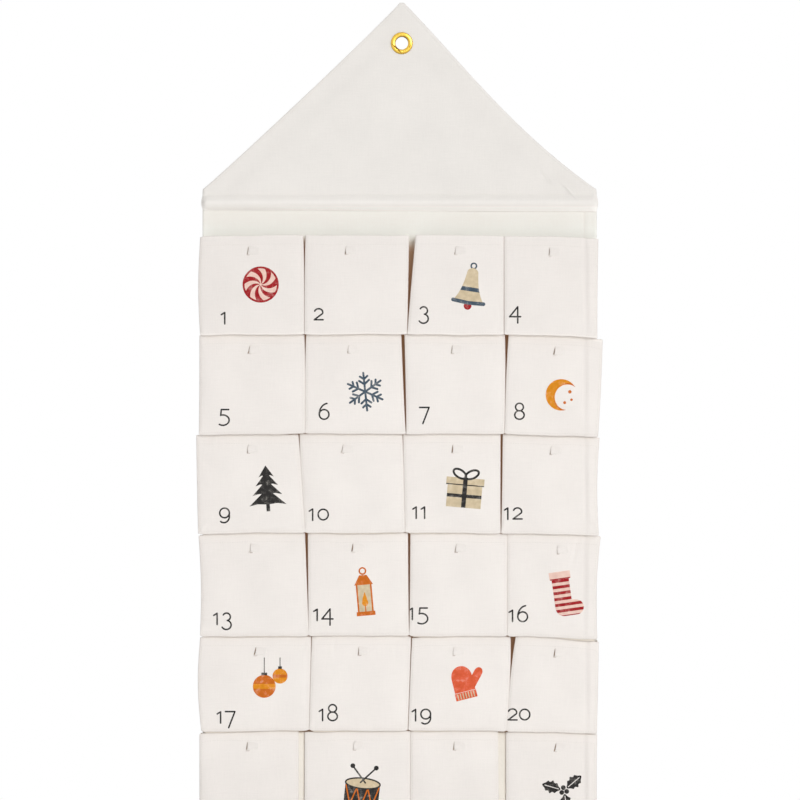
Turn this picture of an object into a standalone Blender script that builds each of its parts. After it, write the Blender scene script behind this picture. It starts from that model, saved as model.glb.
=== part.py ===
"""A hanging advent calendar of cotton canvas, shaped like a house.

A panel with a pointed gable hangs from a brass eyelet, and a wooden dowel in a sewn sleeve keeps it flat.
Six rows of four gusseted pockets are sewn on it, each with a small tape loop under its mouth.

Units are metres and +Z is up. The origin is the eyelet's centre on the panel's back face. The front faces -Y.
Depth means the distance from the panel's back face towards the front, so depth d lies at y = -d.
"""

import math

import bmesh
import bpy
from mathutils import Vector

# Panel and gable
PANEL_WIDTH = 0.500
PANEL_THICKNESS = 0.0016
GABLE_HEIGHT = 0.237
GABLE_TIP_WIDTH = 0.005
SLOPE_BOWS = (0.0042, 0.0145)
EYELET_BELOW_TIP = 0.051
EYELET_OFF_MIDDLE = 0.0027
PLAIN_STRIP_HEIGHT = 0.030
POCKET_FIELD_HEIGHT = 0.757
BOTTOM_MARGIN = 0.022

# Facing, sleeve and dowel
FACING_THICKNESS = 0.0012
SLEEVE_BELOW_CORNER = 0.007
SLEEVE_SLACK = 0.009
SLEEVE_SIDE_BULGE = 0.002
DOWEL_DIAMETER = 0.005
DOWEL_INSET = 0.008
DOWEL_CHAMFER = 0.0006
SLEEVE_END_SLACK = 0.003

# Eyelet and washer
EYELET_FLANGE_DIAMETER = 0.028
EYELET_HOLE_DIAMETER = 0.016
EYELET_CROWN_HEIGHT = 0.0024
EYELET_RIM_HEIGHT = 0.0006
EYELET_WALL = 0.0006
EYELET_LIP_WIDTH = 0.0019
EYELET_LIP_THICKNESS = 0.0006
WASHER_WIDTH = 0.0041
WASHER_THICKNESS = 0.0008

# Pockets
POCKET_THICKNESS = 0.0012
GUSSET_THICKNESS = 0.0010
FOOT_DEPTH = 0.030
MOUTH_DEPTH = 0.022
BELLY_DEPTH = 0.0020
EDGE_TURN = 0.0030
FOLD_DEPTH = 0.0008
SIDE_BULGE = 0.0004
SEAM_GAPE = 0.0076
ROW_ARCH = 0.0014
ROW_DROOP = 0.0028
MOUTH_SAG = 0.0010
FOOT_WAVE = 0.0005
FOOT_LIFT = 0.0008
MOUTH_LIFT = 0.0016
GUSSET_INSET = 0.0010
GUSSET_CORNER_RADIUS = 0.006

# Tape loops
LOOP_WIDTH = 0.0127
LOOP_HEIGHT = 0.0130
LOOP_BELOW_MOUTH = 0.0090
LOOP_STAND = 0.0034
LOOP_THICKNESS = 0.0009
LOOP_SEAT = 0.0002

# Clearance between neighbours, and how far a cutter runs past what it cuts
GAP = 0.0003
OVERRUN = 0.004

# Each row's upper edge, and the last row's foot, as shares of the pocket field's height
ROW_EDGE_SHARES = (0.0, 0.166, 0.333, 0.499, 0.672, 0.831, 1.0)

# Where each row's five upright edges cross its mouth and its foot, as shares of the panel's width
MOUTH_EDGE_SHARES = (
    (-0.006, 0.258, 0.532, 0.765, 1.004),
    (-0.008, 0.260, 0.508, 0.772, 1.015),
    (-0.016, 0.244, 0.508, 0.759, 1.007),
    (-0.010, 0.263, 0.524, 0.773, 1.010),
    (-0.006, 0.276, 0.530, 0.788, 1.005),
    (-0.008, 0.251, 0.527, 0.760, 1.001),
)
FOOT_EDGE_SHARES = (
    (-0.006, 0.258, 0.519, 0.765, 1.001),
    (-0.009, 0.260, 0.516, 0.766, 1.003),
    (-0.011, 0.260, 0.514, 0.757, 1.005),
    (-0.006, 0.269, 0.524, 0.773, 1.001),
    (-0.003, 0.270, 0.521, 0.771, 1.000),
    (-0.008, 0.251, 0.527, 0.761, 1.002),
)

# How wide each row's three inner seams gape, as shares of the seam gape
MOUTH_GAPE_SHARES = (
    (0.33, 1.00, 0.27),
    (0.27, 0.42, 0.58),
    (0.27, 0.33, 0.42),
    (0.50, 0.27, 0.24),
    (0.33, 0.33, 0.83),
    (1.10, 0.30, 1.40),
)
FOOT_GAPE_SHARES = (
    (0.20, 0.22, 0.27),
    (0.27, 0.22, 0.22),
    (0.20, 0.27, 0.33),
    (0.20, 0.27, 0.24),
    (0.20, 0.22, 0.22),
    (1.05, 0.27, 1.25),
)

# Where each loop's middle lies across its pocket's mouth, as a share of the mouth's width
LOOP_PLACE_SHARES = (
    (0.515, 0.442, 0.514, 0.535),
    (0.529, 0.502, 0.525, 0.546),
    (0.560, 0.469, 0.562, 0.554),
    (0.538, 0.500, 0.527, 0.595),
    (0.546, 0.527, 0.478, 0.535),
    (0.535, 0.518, 0.560, 0.600),
)

# Counts
COLUMNS = 4
ROWS = len(MOUTH_EDGE_SHARES)
FRONT_SEGMENTS = (8, 8)
LOOP_SEGMENTS = (1, 6)
GUSSET_SIDE_SEGMENTS = 4
GUSSET_CORNER_SEGMENTS = 2
GUSSET_FOOT_SEGMENTS = 3
FACING_COLUMNS = 6
GABLE_SEGMENTS = 6
SLEEVE_SEGMENTS = 8
ROUND_SIDES = 32
CROWN_SEGMENTS = 6

# Shape shares and powers
BELLY_RISE_SHARE = 0.75
PILLOW_POWER = 4
ARCH_POWER = 4
DROOP_POWER = 6
EDGE_POWER = 8
BOW_PLACE_POWERS = (0.9, 1.6)
BOW_ROUND_POWERS = (0.6, 0.8)
FOLDS_PER_POCKET = 1.5
FOLD_STEP_SHARE = 0.382
LOOP_ROUND_SHARE = 0.5
SLEEVE_POWER = 1.3
SHARP_DEGREES = 40

# Derived sizes
GABLE_TIP_Z = EYELET_BELOW_TIP
CORNER_Z = GABLE_TIP_Z - GABLE_HEIGHT
SLEEVE_TOP_Z = CORNER_Z - SLEEVE_BELOW_CORNER
SLEEVE_HEIGHT = DOWEL_DIAMETER + 2 * SLEEVE_SLACK
SLEEVE_FOOT_Z = SLEEVE_TOP_Z - SLEEVE_HEIGHT
FIELD_TOP_Z = SLEEVE_FOOT_Z - PLAIN_STRIP_HEIGHT
PANEL_FOOT_Z = FIELD_TOP_Z - POCKET_FIELD_HEIGHT - BOTTOM_MARGIN
PANEL_MIDDLE_X = -EYELET_OFF_MIDDLE
PANEL_LEFT_X = PANEL_MIDDLE_X - PANEL_WIDTH / 2
SEAT_DEPTH = PANEL_THICKNESS + GAP
FACING_DEPTH = SEAT_DEPTH + FACING_THICKNESS
EYELET_BARREL_RADIUS = EYELET_HOLE_DIAMETER / 2 + EYELET_WALL
PUNCHED_RADIUS = EYELET_BARREL_RADIUS + GAP

CANVAS = (0.86, 0.83, 0.78)
BRASS = (0.80, 0.58, 0.24)
WOOD = (0.72, 0.55, 0.36)


def clear_scene():
    """Removes every object that the scene starts with."""
    for obj in list(bpy.data.objects):
        bpy.data.objects.remove(obj)


def new_collection(name):
    """A collection linked to the scene."""
    collection = bpy.data.collections.new(name)
    bpy.context.scene.collection.children.link(collection)
    return collection


def material(name, colour, roughness, metallic=0.0):
    """A plain Principled material of its own for one piece."""
    made = bpy.data.materials.new(name)
    made.use_nodes = True
    shader = made.node_tree.nodes["Principled BSDF"]
    shader.inputs["Base Color"].default_value = (*colour, 1.0)
    shader.inputs["Roughness"].default_value = roughness
    shader.inputs["Metallic"].default_value = metallic
    return made


def mesh_object(name, bm, collection):
    """An object that holds what bm holds."""
    mesh = bpy.data.meshes.new(name)
    bm.to_mesh(mesh)
    bm.free()
    obj = bpy.data.objects.new(name, mesh)
    collection.objects.link(obj)
    return obj


def set_as_cutter(obj):
    """Keeps an operand out of the part."""
    obj.hide_render = True
    obj.display_type = "WIRE"


def boolean(obj, operand, operation):
    """Joins the operand to the object, or cuts it out."""
    modifier = obj.modifiers.new(operand.name, "BOOLEAN")
    modifier.operation = operation
    modifier.solver = "EXACT"
    modifier.object = operand


def sheet(name, segments, place, thickness, origin, collection):
    """A sheet of cloth whose outer face follows place(u, v), both from 0 to 1, thickened towards its back."""
    bm = bmesh.new()
    bmesh.ops.create_grid(bm, x_segments=segments[0], y_segments=segments[1], size=1)
    for vertex in bm.verts:
        u, v = (vertex.co.x + 1) / 2, (vertex.co.y + 1) / 2
        vertex.co = Vector(place(u, v)) - Vector(origin)
    obj = mesh_object(name, bm, collection)
    obj.location = origin
    solidify = obj.modifiers.new("cloth", "SOLIDIFY")
    solidify.thickness = thickness
    solidify.offset = -1
    solidify.use_even_offset = True
    obj.data.shade_smooth()
    return obj


def turned(name, profile, collection):
    """A ring whose closed (radius, depth) profile is turned about the eyelet's axis. It runs down its outer side."""
    bm = bmesh.new()
    points = [bm.verts.new((radius, 0, depth)) for radius, depth in profile]
    for a, b in zip(points, points[1:] + points[:1]):
        bm.edges.new((a, b))
    obj = mesh_object(name, bm, collection)
    obj.rotation_euler = (math.radians(90), 0, 0)
    screw = obj.modifiers.new("turn", "SCREW")
    screw.steps = ROUND_SIDES
    screw.render_steps = ROUND_SIDES
    screw.use_merge_vertices = True
    screw.merge_threshold = GAP / 10
    obj.data.shade_smooth()
    return obj


def cylinder(name, radius, length, sides, collection):
    """A cylinder about its own Z axis, centred on its origin."""
    bm = bmesh.new()
    bmesh.ops.create_cone(bm, cap_ends=True, segments=sides, radius1=radius, radius2=radius, depth=length)
    return mesh_object(name, bm, collection)


def mix(a, b, share):
    """The value that lies this share of the way from a to b."""
    return a + (b - a) * share


def eased(share):
    """The share moved so that even steps crowd towards both ends."""
    return (1 - math.cos(math.pi * share)) / 2


def centred_on(share, middle):
    """The share moved so that a half comes to lie at middle, while 0 and 1 stay."""
    return share + (4 * middle - 2) * share * (1 - share)


def row_rise(x):
    """How far a row's seams lie above their place at x. They arch a little, and droop towards the panel's right."""
    share = (x - PANEL_LEFT_X) / PANEL_WIDTH
    return ROW_ARCH * (1 - (2 * share - 1) ** ARCH_POWER) - ROW_DROOP * share**DROOP_POWER


class Pocket:
    """The outline and the bulge of one pocket, from its row and column."""

    def __init__(self, row, column):
        self.row = row
        self.column = column
        self.number = row * COLUMNS + column + 1
        self.mouth_z = FIELD_TOP_Z - POCKET_FIELD_HEIGHT * ROW_EDGE_SHARES[row] - MOUTH_LIFT
        self.foot_z = FIELD_TOP_Z - POCKET_FIELD_HEIGHT * ROW_EDGE_SHARES[row + 1] + FOOT_LIFT
        self.phase = self.number * FOLD_STEP_SHARE

    def side_x(self, side, v):
        """The left (side 0) or right (side 1) edge at share v of the way from foot to mouth."""
        edge = self.column + side
        outward = 2 * side - 1
        foot = PANEL_LEFT_X + PANEL_WIDTH * FOOT_EDGE_SHARES[self.row][edge]
        mouth = PANEL_LEFT_X + PANEL_WIDTH * MOUTH_EDGE_SHARES[self.row][edge]
        if edge in (0, COLUMNS):
            return mix(foot, mouth, v) + outward * SIDE_BULGE * math.sin(math.pi * v)
        foot_gape = SEAM_GAPE * FOOT_GAPE_SHARES[self.row][edge - 1]
        mouth_gape = SEAM_GAPE * MOUTH_GAPE_SHARES[self.row][edge - 1]
        return mix(foot, mouth, v) - outward * mix(foot_gape, mouth_gape, v) / 2

    def edge_depth(self, v):
        """How far the front's outer face stands from the panel's back along its sides."""
        return mix(FOOT_DEPTH, MOUTH_DEPTH, v) - EDGE_TURN

    def front_depth(self, u, v):
        """How far the front's outer face stands from the panel's back."""
        turn = EDGE_TURN * max(abs(2 * u - 1) ** EDGE_POWER, (1 - v) ** EDGE_POWER)
        across = 1 - (2 * u - 1) ** PILLOW_POWER
        belly = BELLY_DEPTH * across * math.sin(math.pi * v**BELLY_RISE_SHARE)
        wave = math.sin(2 * math.pi * (FOLDS_PER_POCKET * u + v / 2 + self.phase))
        fold = FOLD_DEPTH * across * math.sin(math.pi * v) * wave
        return mix(FOOT_DEPTH, MOUTH_DEPTH, v) - turn + belly + fold

    def front_point(self, u, v):
        """A point of the front's outer face."""
        across = math.sin(math.pi * u)
        foot = self.foot_z + FOOT_WAVE * across * math.sin(2 * math.pi * (u + self.phase))
        mouth = self.mouth_z - MOUTH_SAG * across
        x = mix(self.side_x(0, v), self.side_x(1, v), u)
        return (x, -self.front_depth(u, v), mix(foot, mouth, v) + row_rise(x))

    def hinge(self):
        """The middle of the seam at the front's foot, which the front swings about."""
        x = (self.side_x(0, 0) + self.side_x(1, 0)) / 2
        return (x, POCKET_THICKNESS / 2 - self.edge_depth(0), self.foot_z + row_rise(x))

    def loop_point(self, u, v):
        """A point of the tape loop's outer face. Its two ends are sewn into the front."""
        share = LOOP_PLACE_SHARES[self.row][self.column]
        top = self.mouth_z - MOUTH_SAG * math.sin(math.pi * share) - LOOP_BELOW_MOUTH
        z = top - LOOP_HEIGHT * (1 - v)
        front = self.front_depth(share, (z - self.foot_z) / (self.mouth_z - self.foot_z))
        middle = mix(self.side_x(0, 1), self.side_x(1, 1), share)
        stand = LOOP_STAND * math.sin(math.pi * v) ** LOOP_ROUND_SHARE
        return (middle + LOOP_WIDTH * (u - 1 / 2), -(front + LOOP_SEAT + stand), z + row_rise(middle))

    def gusset_route(self):
        """The (x, z, share up) stations of the gusset's outer face: down the left side, along the foot and up."""
        low = self.foot_z + GUSSET_INSET
        height = self.mouth_z - low
        radius = GUSSET_CORNER_RADIUS
        left = []
        for step in range(GUSSET_SIDE_SEGMENTS):
            up = 1 - step / GUSSET_SIDE_SEGMENTS * (1 - radius / height)
            left.append((self.side_x(0, up) + GUSSET_INSET, low + height * up, up))
        for step in range(GUSSET_CORNER_SEGMENTS + 1):
            angle = math.pi / 2 * step / GUSSET_CORNER_SEGMENTS
            up = radius / height * (1 - math.sin(angle))
            x = self.side_x(0, up) + GUSSET_INSET + radius * (1 - math.cos(angle))
            left.append((x, low + height * up, up))
        right = []
        for x, z, up in reversed(left):
            from_side = x - self.side_x(0, up)
            right.append((self.side_x(1, up) - from_side, z, up))
        start, end = left[-1][0], right[0][0]
        foot = []
        for step in range(1, GUSSET_FOOT_SEGMENTS):
            foot.append((mix(start, end, step / GUSSET_FOOT_SEGMENTS), low, 0))
        return [(x, z + row_rise(x), up) for x, z, up in left + foot + right]


def build_front(pocket, parts, cutters):
    """The pocket's front with its tape loop sewn on. Its origin is on the seam that it swings about."""
    name = f"pocket_front_{pocket.number:02d}"

    loop_share = LOOP_PLACE_SHARES[pocket.row][pocket.column]

    def place(u, v):
        return pocket.front_point(centred_on(eased(u), loop_share), eased(v))

    front = sheet(name, FRONT_SEGMENTS, place, POCKET_THICKNESS, pocket.hinge(), parts)
    front.data.materials.append(material(name, CANVAS, 0.9))
    loop_name = f"tape_loop_{pocket.number:02d}"
    origin = pocket.loop_point(1 / 2, 0)
    loop = sheet(loop_name, LOOP_SEGMENTS, pocket.loop_point, LOOP_THICKNESS, origin, cutters)
    set_as_cutter(loop)
    boolean(front, loop, "UNION")


def build_gusset(pocket, parts):
    """The strip that joins the front to the panel along both sides and the foot."""
    name = f"pocket_gusset_{pocket.number:02d}"
    route = pocket.gusset_route()

    def place(u, v):
        x, z, up = route[round(u * (len(route) - 1))]
        front = pocket.edge_depth(up) - POCKET_THICKNESS - GAP
        return (x, -mix(SEAT_DEPTH, front, v), z)

    origin = (pocket.hinge()[0], -SEAT_DEPTH, pocket.foot_z)
    gusset = sheet(name, (len(route) - 1, 1), place, GUSSET_THICKNESS, origin, parts)
    gusset.data.materials.append(material(name, CANVAS, 0.92))


def panel_side_x(side, z):
    """The panel's left (side 0) or right (side 1) edge at height z.

    The tip stands over the eyelet, which is a little off the middle. Between tip and corner the slopes bow inwards.
    """
    reach = min(1.0, max(0.0, (GABLE_TIP_Z - z) / GABLE_HEIGHT))
    arch = max(0.0, math.sin(math.pi * reach ** BOW_PLACE_POWERS[side]))
    bow = SLOPE_BOWS[side] * arch ** BOW_ROUND_POWERS[side]
    outward = 2 * side - 1
    half = mix(GABLE_TIP_WIDTH, PANEL_WIDTH, reach) / 2
    return PANEL_MIDDLE_X * reach + outward * (half - bow)


def slope_heights():
    """The heights of the points along the gable's slopes, from the corners to the tip."""
    return [mix(CORNER_Z, GABLE_TIP_Z, step / GABLE_SEGMENTS) for step in range(GABLE_SEGMENTS + 1)]


def build_back_panel(parts):
    """The house-shaped panel, with the eyelet's hole."""
    heights = [PANEL_FOOT_Z, *slope_heights()]
    left = [(panel_side_x(0, z), z) for z in reversed(heights)]
    right = [(panel_side_x(1, z), z) for z in heights]
    hole = []
    for step in range(ROUND_SIDES):
        angle = 2 * math.pi * step / ROUND_SIDES
        hole.append((PUNCHED_RADIUS * math.cos(angle), PUNCHED_RADIUS * math.sin(angle)))
    curve = bpy.data.curves.new("back_panel", "CURVE")
    curve.dimensions = "2D"
    curve.fill_mode = "BOTH"
    curve.extrude = PANEL_THICKNESS / 2
    for outline in (left + right, hole):
        spline = curve.splines.new("POLY")
        spline.points.add(len(outline) - 1)
        for point, (x, z) in zip(spline.points, outline):
            point.co = (x, z, 0, 1)
        spline.use_cyclic_u = True
    panel = bpy.data.objects.new("back_panel", curve)
    panel.rotation_euler = (math.radians(90), 0, 0)
    panel.location = (0, -PANEL_THICKNESS / 2, 0)
    parts.objects.link(panel)
    curve.materials.append(material("back_panel", CANVAS, 0.92))


def facing_stations():
    """The heights of the facing's rows of points, from its lower edge to the tip."""
    stations = []
    for step in range(SLEEVE_SEGMENTS):
        stations.append(mix(SLEEVE_FOOT_Z, SLEEVE_TOP_Z, step / SLEEVE_SEGMENTS))
    return [*stations, SLEEVE_TOP_Z, *slope_heights()]


def facing_column(index, z):
    """How far across the facing a column of its points lies at height z, as a share of its width.

    The second column and the last but one come close to the sleeve's ends, where the cloth turns down past the dowel.
    """
    if index in (0, FACING_COLUMNS):
        return index / FACING_COLUMNS
    reach = min(1.0, (GABLE_TIP_Z - z) / GABLE_HEIGHT)
    end = mix(1 / FACING_COLUMNS, (DOWEL_INSET - SLEEVE_END_SLACK) / PANEL_WIDTH, reach)
    return mix(end, 1 - end, (index - 1) / (FACING_COLUMNS - 2))


def build_gable_facing(parts, cutters):
    """The front layer of the gable. Below the corners it wraps the dowel as a sleeve with closed ends."""
    stations = facing_stations()
    rise = DOWEL_DIAMETER + 2 * GAP

    def place(u, v):
        z = stations[round(v * (len(stations) - 1))]
        column = round(u * FACING_COLUMNS)
        around = max(0.0, math.sin(math.pi * min(1.0, (z - SLEEVE_FOOT_Z) / SLEEVE_HEIGHT)))
        bulge = SLEEVE_SIDE_BULGE * around
        x = mix(panel_side_x(0, z) - bulge, panel_side_x(1, z) + bulge, facing_column(column, z))
        lift = 0 if column in (0, FACING_COLUMNS) else rise * around**SLEEVE_POWER
        return (x, -(FACING_DEPTH + lift), z)

    segments = (FACING_COLUMNS, len(stations) - 1)
    facing = sheet("gable_facing", segments, place, FACING_THICKNESS, (0, 0, 0), parts)
    facing.data.materials.append(material("gable_facing", CANVAS, 0.9))
    length = FACING_DEPTH + 2 * OVERRUN
    punch = cylinder("eyelet_punch", PUNCHED_RADIUS, length, ROUND_SIDES, cutters)
    punch.rotation_euler = (math.radians(90), 0, 0)
    punch.location = (0, -FACING_DEPTH / 2, 0)
    set_as_cutter(punch)
    boolean(facing, punch, "DIFFERENCE")


def build_dowel(parts):
    """The wooden rod inside the sleeve, which keeps the panel's upper edge straight."""
    length = PANEL_WIDTH - 2 * DOWEL_INSET
    dowel = cylinder("hanging_dowel", DOWEL_DIAMETER / 2, length, ROUND_SIDES // 2, parts)
    dowel.rotation_euler = (0, math.radians(90), 0)
    depth = SEAT_DEPTH + DOWEL_DIAMETER / 2
    dowel.location = (PANEL_MIDDLE_X, -depth, SLEEVE_FOOT_Z + SLEEVE_HEIGHT / 2)
    bevel = dowel.modifiers.new("chamfer", "BEVEL")
    bevel.width = DOWEL_CHAMFER
    bevel.segments = 1
    dowel.data.shade_smooth()
    dowel.data.set_sharp_from_angle(angle=math.radians(SHARP_DEGREES))
    dowel.data.materials.append(material("hanging_dowel", WOOD, 0.6))


def build_eyelet(parts):
    """The brass eyelet: a rolled flange on the facing, a barrel through the cloth and a lip behind the washer."""
    seat = FACING_DEPTH + GAP
    lip_top = -(WASHER_THICKNESS + 2 * GAP)
    lip_foot = lip_top - EYELET_LIP_THICKNESS
    bore = EYELET_HOLE_DIAMETER / 2
    rim = EYELET_FLANGE_DIAMETER / 2
    lip = EYELET_BARREL_RADIUS + EYELET_LIP_WIDTH
    profile = [
        (rim, seat + EYELET_RIM_HEIGHT),
        (rim, seat),
        (EYELET_BARREL_RADIUS, seat),
        (EYELET_BARREL_RADIUS, lip_top),
        (lip, lip_top),
        (lip, lip_foot),
        (bore, lip_foot),
        (bore, seat + EYELET_RIM_HEIGHT),
    ]
    for step in range(1, CROWN_SEGMENTS):
        angle = math.pi * step / CROWN_SEGMENTS
        radius = mix(bore, rim, (1 - math.cos(angle)) / 2)
        rise = mix(EYELET_RIM_HEIGHT, EYELET_CROWN_HEIGHT, math.sin(angle))
        profile.append((radius, seat + rise))
    eyelet = turned("hanging_eyelet", profile, parts)
    eyelet.data.materials.append(material("hanging_eyelet", BRASS, 0.25, 1.0))


def build_washer(parts):
    """The washer behind the panel, which the eyelet's lip is pressed against."""
    inner = EYELET_BARREL_RADIUS + GAP
    outer = inner + WASHER_WIDTH
    top = -GAP
    foot = top - WASHER_THICKNESS
    profile = [(outer, top), (outer, foot), (inner, foot), (inner, top)]
    washer = turned("eyelet_washer", profile, parts)
    washer.data.materials.append(material("eyelet_washer", BRASS, 0.3, 1.0))


def main():
    """Builds the calendar."""
    clear_scene()
    parts = new_collection("hanging_advent_calendar")
    cutters = new_collection("cutters")
    build_back_panel(parts)
    build_gable_facing(parts, cutters)
    build_dowel(parts)
    build_eyelet(parts)
    build_washer(parts)
    for row in range(ROWS):
        for column in range(COLUMNS):
            pocket = Pocket(row, column)
            build_front(pocket, parts, cutters)
            build_gusset(pocket, parts)


main()
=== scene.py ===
"""A hanging advent calendar of cotton canvas: the looks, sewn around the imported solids.

The solids give every place. This script makes the canvas with its hems, folds and stitches, the tape loops, the
prints, the rolled eyelet and the studio. Units are metres and +Z is up. The origin is the eyelet's centre on the
panel's back face, and the front faces -Y. Depth means the distance from the panel's back face towards the front.
"""

import logging
import math
from dataclasses import dataclass, field
from enum import Enum
from typing import Callable, Optional, Sequence, Union

import bpy
import numpy as np
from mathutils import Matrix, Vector
from mathutils.geometry import delaunay_2d_cdt


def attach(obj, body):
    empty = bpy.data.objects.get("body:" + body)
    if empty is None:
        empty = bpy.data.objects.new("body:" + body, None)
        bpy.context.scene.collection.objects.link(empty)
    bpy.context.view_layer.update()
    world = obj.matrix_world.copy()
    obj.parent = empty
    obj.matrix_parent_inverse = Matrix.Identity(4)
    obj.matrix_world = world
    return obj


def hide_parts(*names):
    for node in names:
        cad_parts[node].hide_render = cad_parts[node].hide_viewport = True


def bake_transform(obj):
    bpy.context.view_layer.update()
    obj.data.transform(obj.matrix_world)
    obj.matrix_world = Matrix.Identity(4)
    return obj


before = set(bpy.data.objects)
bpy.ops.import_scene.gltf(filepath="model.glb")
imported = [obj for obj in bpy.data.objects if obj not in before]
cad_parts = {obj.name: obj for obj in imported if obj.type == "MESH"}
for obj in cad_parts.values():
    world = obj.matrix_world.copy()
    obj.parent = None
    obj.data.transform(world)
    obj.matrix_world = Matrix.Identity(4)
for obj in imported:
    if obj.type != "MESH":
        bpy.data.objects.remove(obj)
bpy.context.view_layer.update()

log = logging.getLogger("advent_calendar")

Colour = tuple[float, float, float]
Value = Union[float, "Signal"]

MM = 0.001
CLOTH_MAP = "cloth"
# How much darker a surface is painted: seam lines and tarnish, and also painted shade, with painted light below zero
DARK_MARKS_AND_PAINTED_LIGHT = "seam"
# Painted shade and painted glow: where the cloth takes a shade colour and an emission that stand in for shade and
# bounced light
SHADE_AND_GLOW = "shade_and_glow"
ROWS = 6
COLUMNS = 4

# How far each pocket's cloth lies from the last one's on the bolt, in metres, and where its random draws start
BOLT_STEP = (0.31, 0.17)
CREASE_SEED = 100
GUSSET_SEED = 500

# How far from a hole's centre points are drawn onto its circle, as a share of its radius
HOLE_REACH = 1.35


# Shader tools


def paint(red: float, green: float, blue: float) -> Colour:
    """A colour as the screen shows it, from 0 to 255, as the linear colour that a shader takes.

    Args:
        red: The screen's red.
        green: The screen's green.
        blue: The screen's blue.

    Returns:
        The linear red, green and blue, from 0 to 1.
    """
    shown = [part / 255 for part in (red, green, blue)]
    return tuple(((part + 0.055) / 1.055) ** 2.4 for part in shown)


class Signal:
    """A value that varies over a surface: one output socket, with the arithmetic that Math nodes do."""

    def __init__(self, shade: "Shade", socket: bpy.types.NodeSocket) -> None:
        """Wraps a socket of the shade's tree."""
        self.shade = shade
        self.socket = socket

    def _math(self, operation: str, *values: Value) -> "Signal":
        """One Math node over the values."""
        return self.shade.node("ShaderNodeMath", {"operation": operation}, dict(enumerate(values)))

    def __add__(self, other: Value) -> "Signal":
        """The sum."""
        return self._math("ADD", self, other)

    __radd__ = __add__

    def __sub__(self, other: Value) -> "Signal":
        """The difference."""
        return self._math("SUBTRACT", self, other)

    def __rsub__(self, other: Value) -> "Signal":
        """The difference, with this value taken from the other."""
        return self._math("SUBTRACT", other, self)

    def __mul__(self, other: Value) -> "Signal":
        """The product."""
        return self._math("MULTIPLY", self, other)

    __rmul__ = __mul__

    def __pow__(self, other: Value) -> "Signal":
        """The power."""
        return self._math("POWER", self, other)

    def __abs__(self) -> "Signal":
        """The size without its sign."""
        return self._math("ABSOLUTE", self)

    def sine(self) -> "Signal":
        """The sine."""
        return self._math("SINE", self)

    def larger(self, other: Value) -> "Signal":
        """The larger of the two."""
        return self._math("MAXIMUM", self, other)

    def smaller(self, other: Value) -> "Signal":
        """The smaller of the two."""
        return self._math("MINIMUM", self, other)

    def rise(self, start: float, end: float) -> "Signal":
        """Goes smoothly from 0 to 1 as this value goes from start to end.

        Args:
            start: Where it starts to rise.
            end: Where it has risen.

        Returns:
            The step.
        """
        settings = {"interpolation_type": "SMOOTHSTEP"}
        inputs = {"Value": self, "From Min": start, "From Max": end}
        return self.shade.node("ShaderNodeMapRange", settings, inputs)


class Shade:
    """The node tree of one material, and the ways to add to it."""

    def __init__(self, name: str) -> None:
        """Starts a material with a Principled shader.

        Args:
            name: The material's name.
        """
        self.material = bpy.data.materials.new(name)
        self.material.use_nodes = True
        self.tree = self.material.node_tree
        self.shader = self.tree.nodes["Principled BSDF"]
        self.output = self.tree.nodes["Material Output"]

    def node(
        self,
        kind: str,
        settings: Optional[dict] = None,
        inputs: Optional[dict] = None,
        output: Union[int, str] = 0,
    ) -> Signal:
        """Adds one node.

        Args:
            kind: The node's type.
            settings: Its own settings, which are set first.
            inputs: What goes into its sockets, by name or number: a value or a signal.
            output: The socket that the signal comes from.

        Returns:
            The signal of that output.
        """
        made = self.tree.nodes.new(kind)
        for key, value in (settings or {}).items():
            setattr(made, key, value)
        for key, value in (inputs or {}).items():
            self.feed(made.inputs[key], value)
        return Signal(self, made.outputs[output])

    def feed(self, socket: bpy.types.NodeSocket, value: object) -> None:
        """Links a signal into a socket, or sets the socket's own value.

        Args:
            socket: The socket.
            value: A signal, a colour or a number.
        """
        if isinstance(value, Signal):
            self.tree.links.new(value.socket, socket)
        elif isinstance(value, tuple) and socket.type == "RGBA":
            socket.default_value = (*value, 1.0)
        else:
            socket.default_value = value

    def blend(self, share: Value, low: Union[Colour, Signal], high: Union[Colour, Signal]) -> Signal:
        """A colour between two, at this share of the way."""
        return self.node("ShaderNodeMix", {"data_type": "RGBA"}, {0: share, 6: low, 7: high}, 2)

    def vector(self, x: Value, y: Value, z: Value = 0.0) -> Signal:
        """A vector of three values."""
        return self.node("ShaderNodeCombineXYZ", inputs={0: x, 1: y, 2: z})

    def _split(self, vector: Signal) -> tuple[Signal, Signal, Signal]:
        """The three parts of a vector."""
        first = self.node("ShaderNodeSeparateXYZ", inputs={0: vector})
        return first, *(Signal(self, first.socket.node.outputs[part]) for part in (1, 2))

    def cloth(self) -> tuple[Signal, Signal]:
        """The place on the flat cloth, across and along, in metres."""
        return self._split(self.node("ShaderNodeUVMap", {"uv_map": CLOTH_MAP}))[:2]

    def place(self) -> tuple[Signal, Signal, Signal]:
        """The place in the piece's own space, in metres."""
        return self._split(self.node("ShaderNodeTexCoord", output="Object"))

    def noise(self, at: Signal, scale: float, detail: float = 2.0) -> Signal:
        """Soft noise about a half."""
        return self.node("ShaderNodeTexNoise", inputs={"Vector": at, "Scale": scale, "Detail": detail})

    def painted(self, attribute: str) -> Signal:
        """A value painted on the mesh's points."""
        return self.node("ShaderNodeAttribute", {"attribute_name": attribute}, output="Fac")

    def bump(self, height: Signal, distance: float) -> Signal:
        """A normal that follows a height."""
        return self.node("ShaderNodeBump", inputs={"Distance": distance, "Height": height}, output="Normal")

    def finish(self, **inputs: object) -> bpy.types.Material:
        """Feeds the Principled shader, whose sockets are named with _ for a space, and gives the material.

        Args:
            inputs: What goes into each socket.

        Returns:
            The material, as Blender's own.
        """
        for key, value in inputs.items():
            self.feed(self.shader.inputs[key.replace("_", " ")], value)
        return self.material


# Finishes


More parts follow.
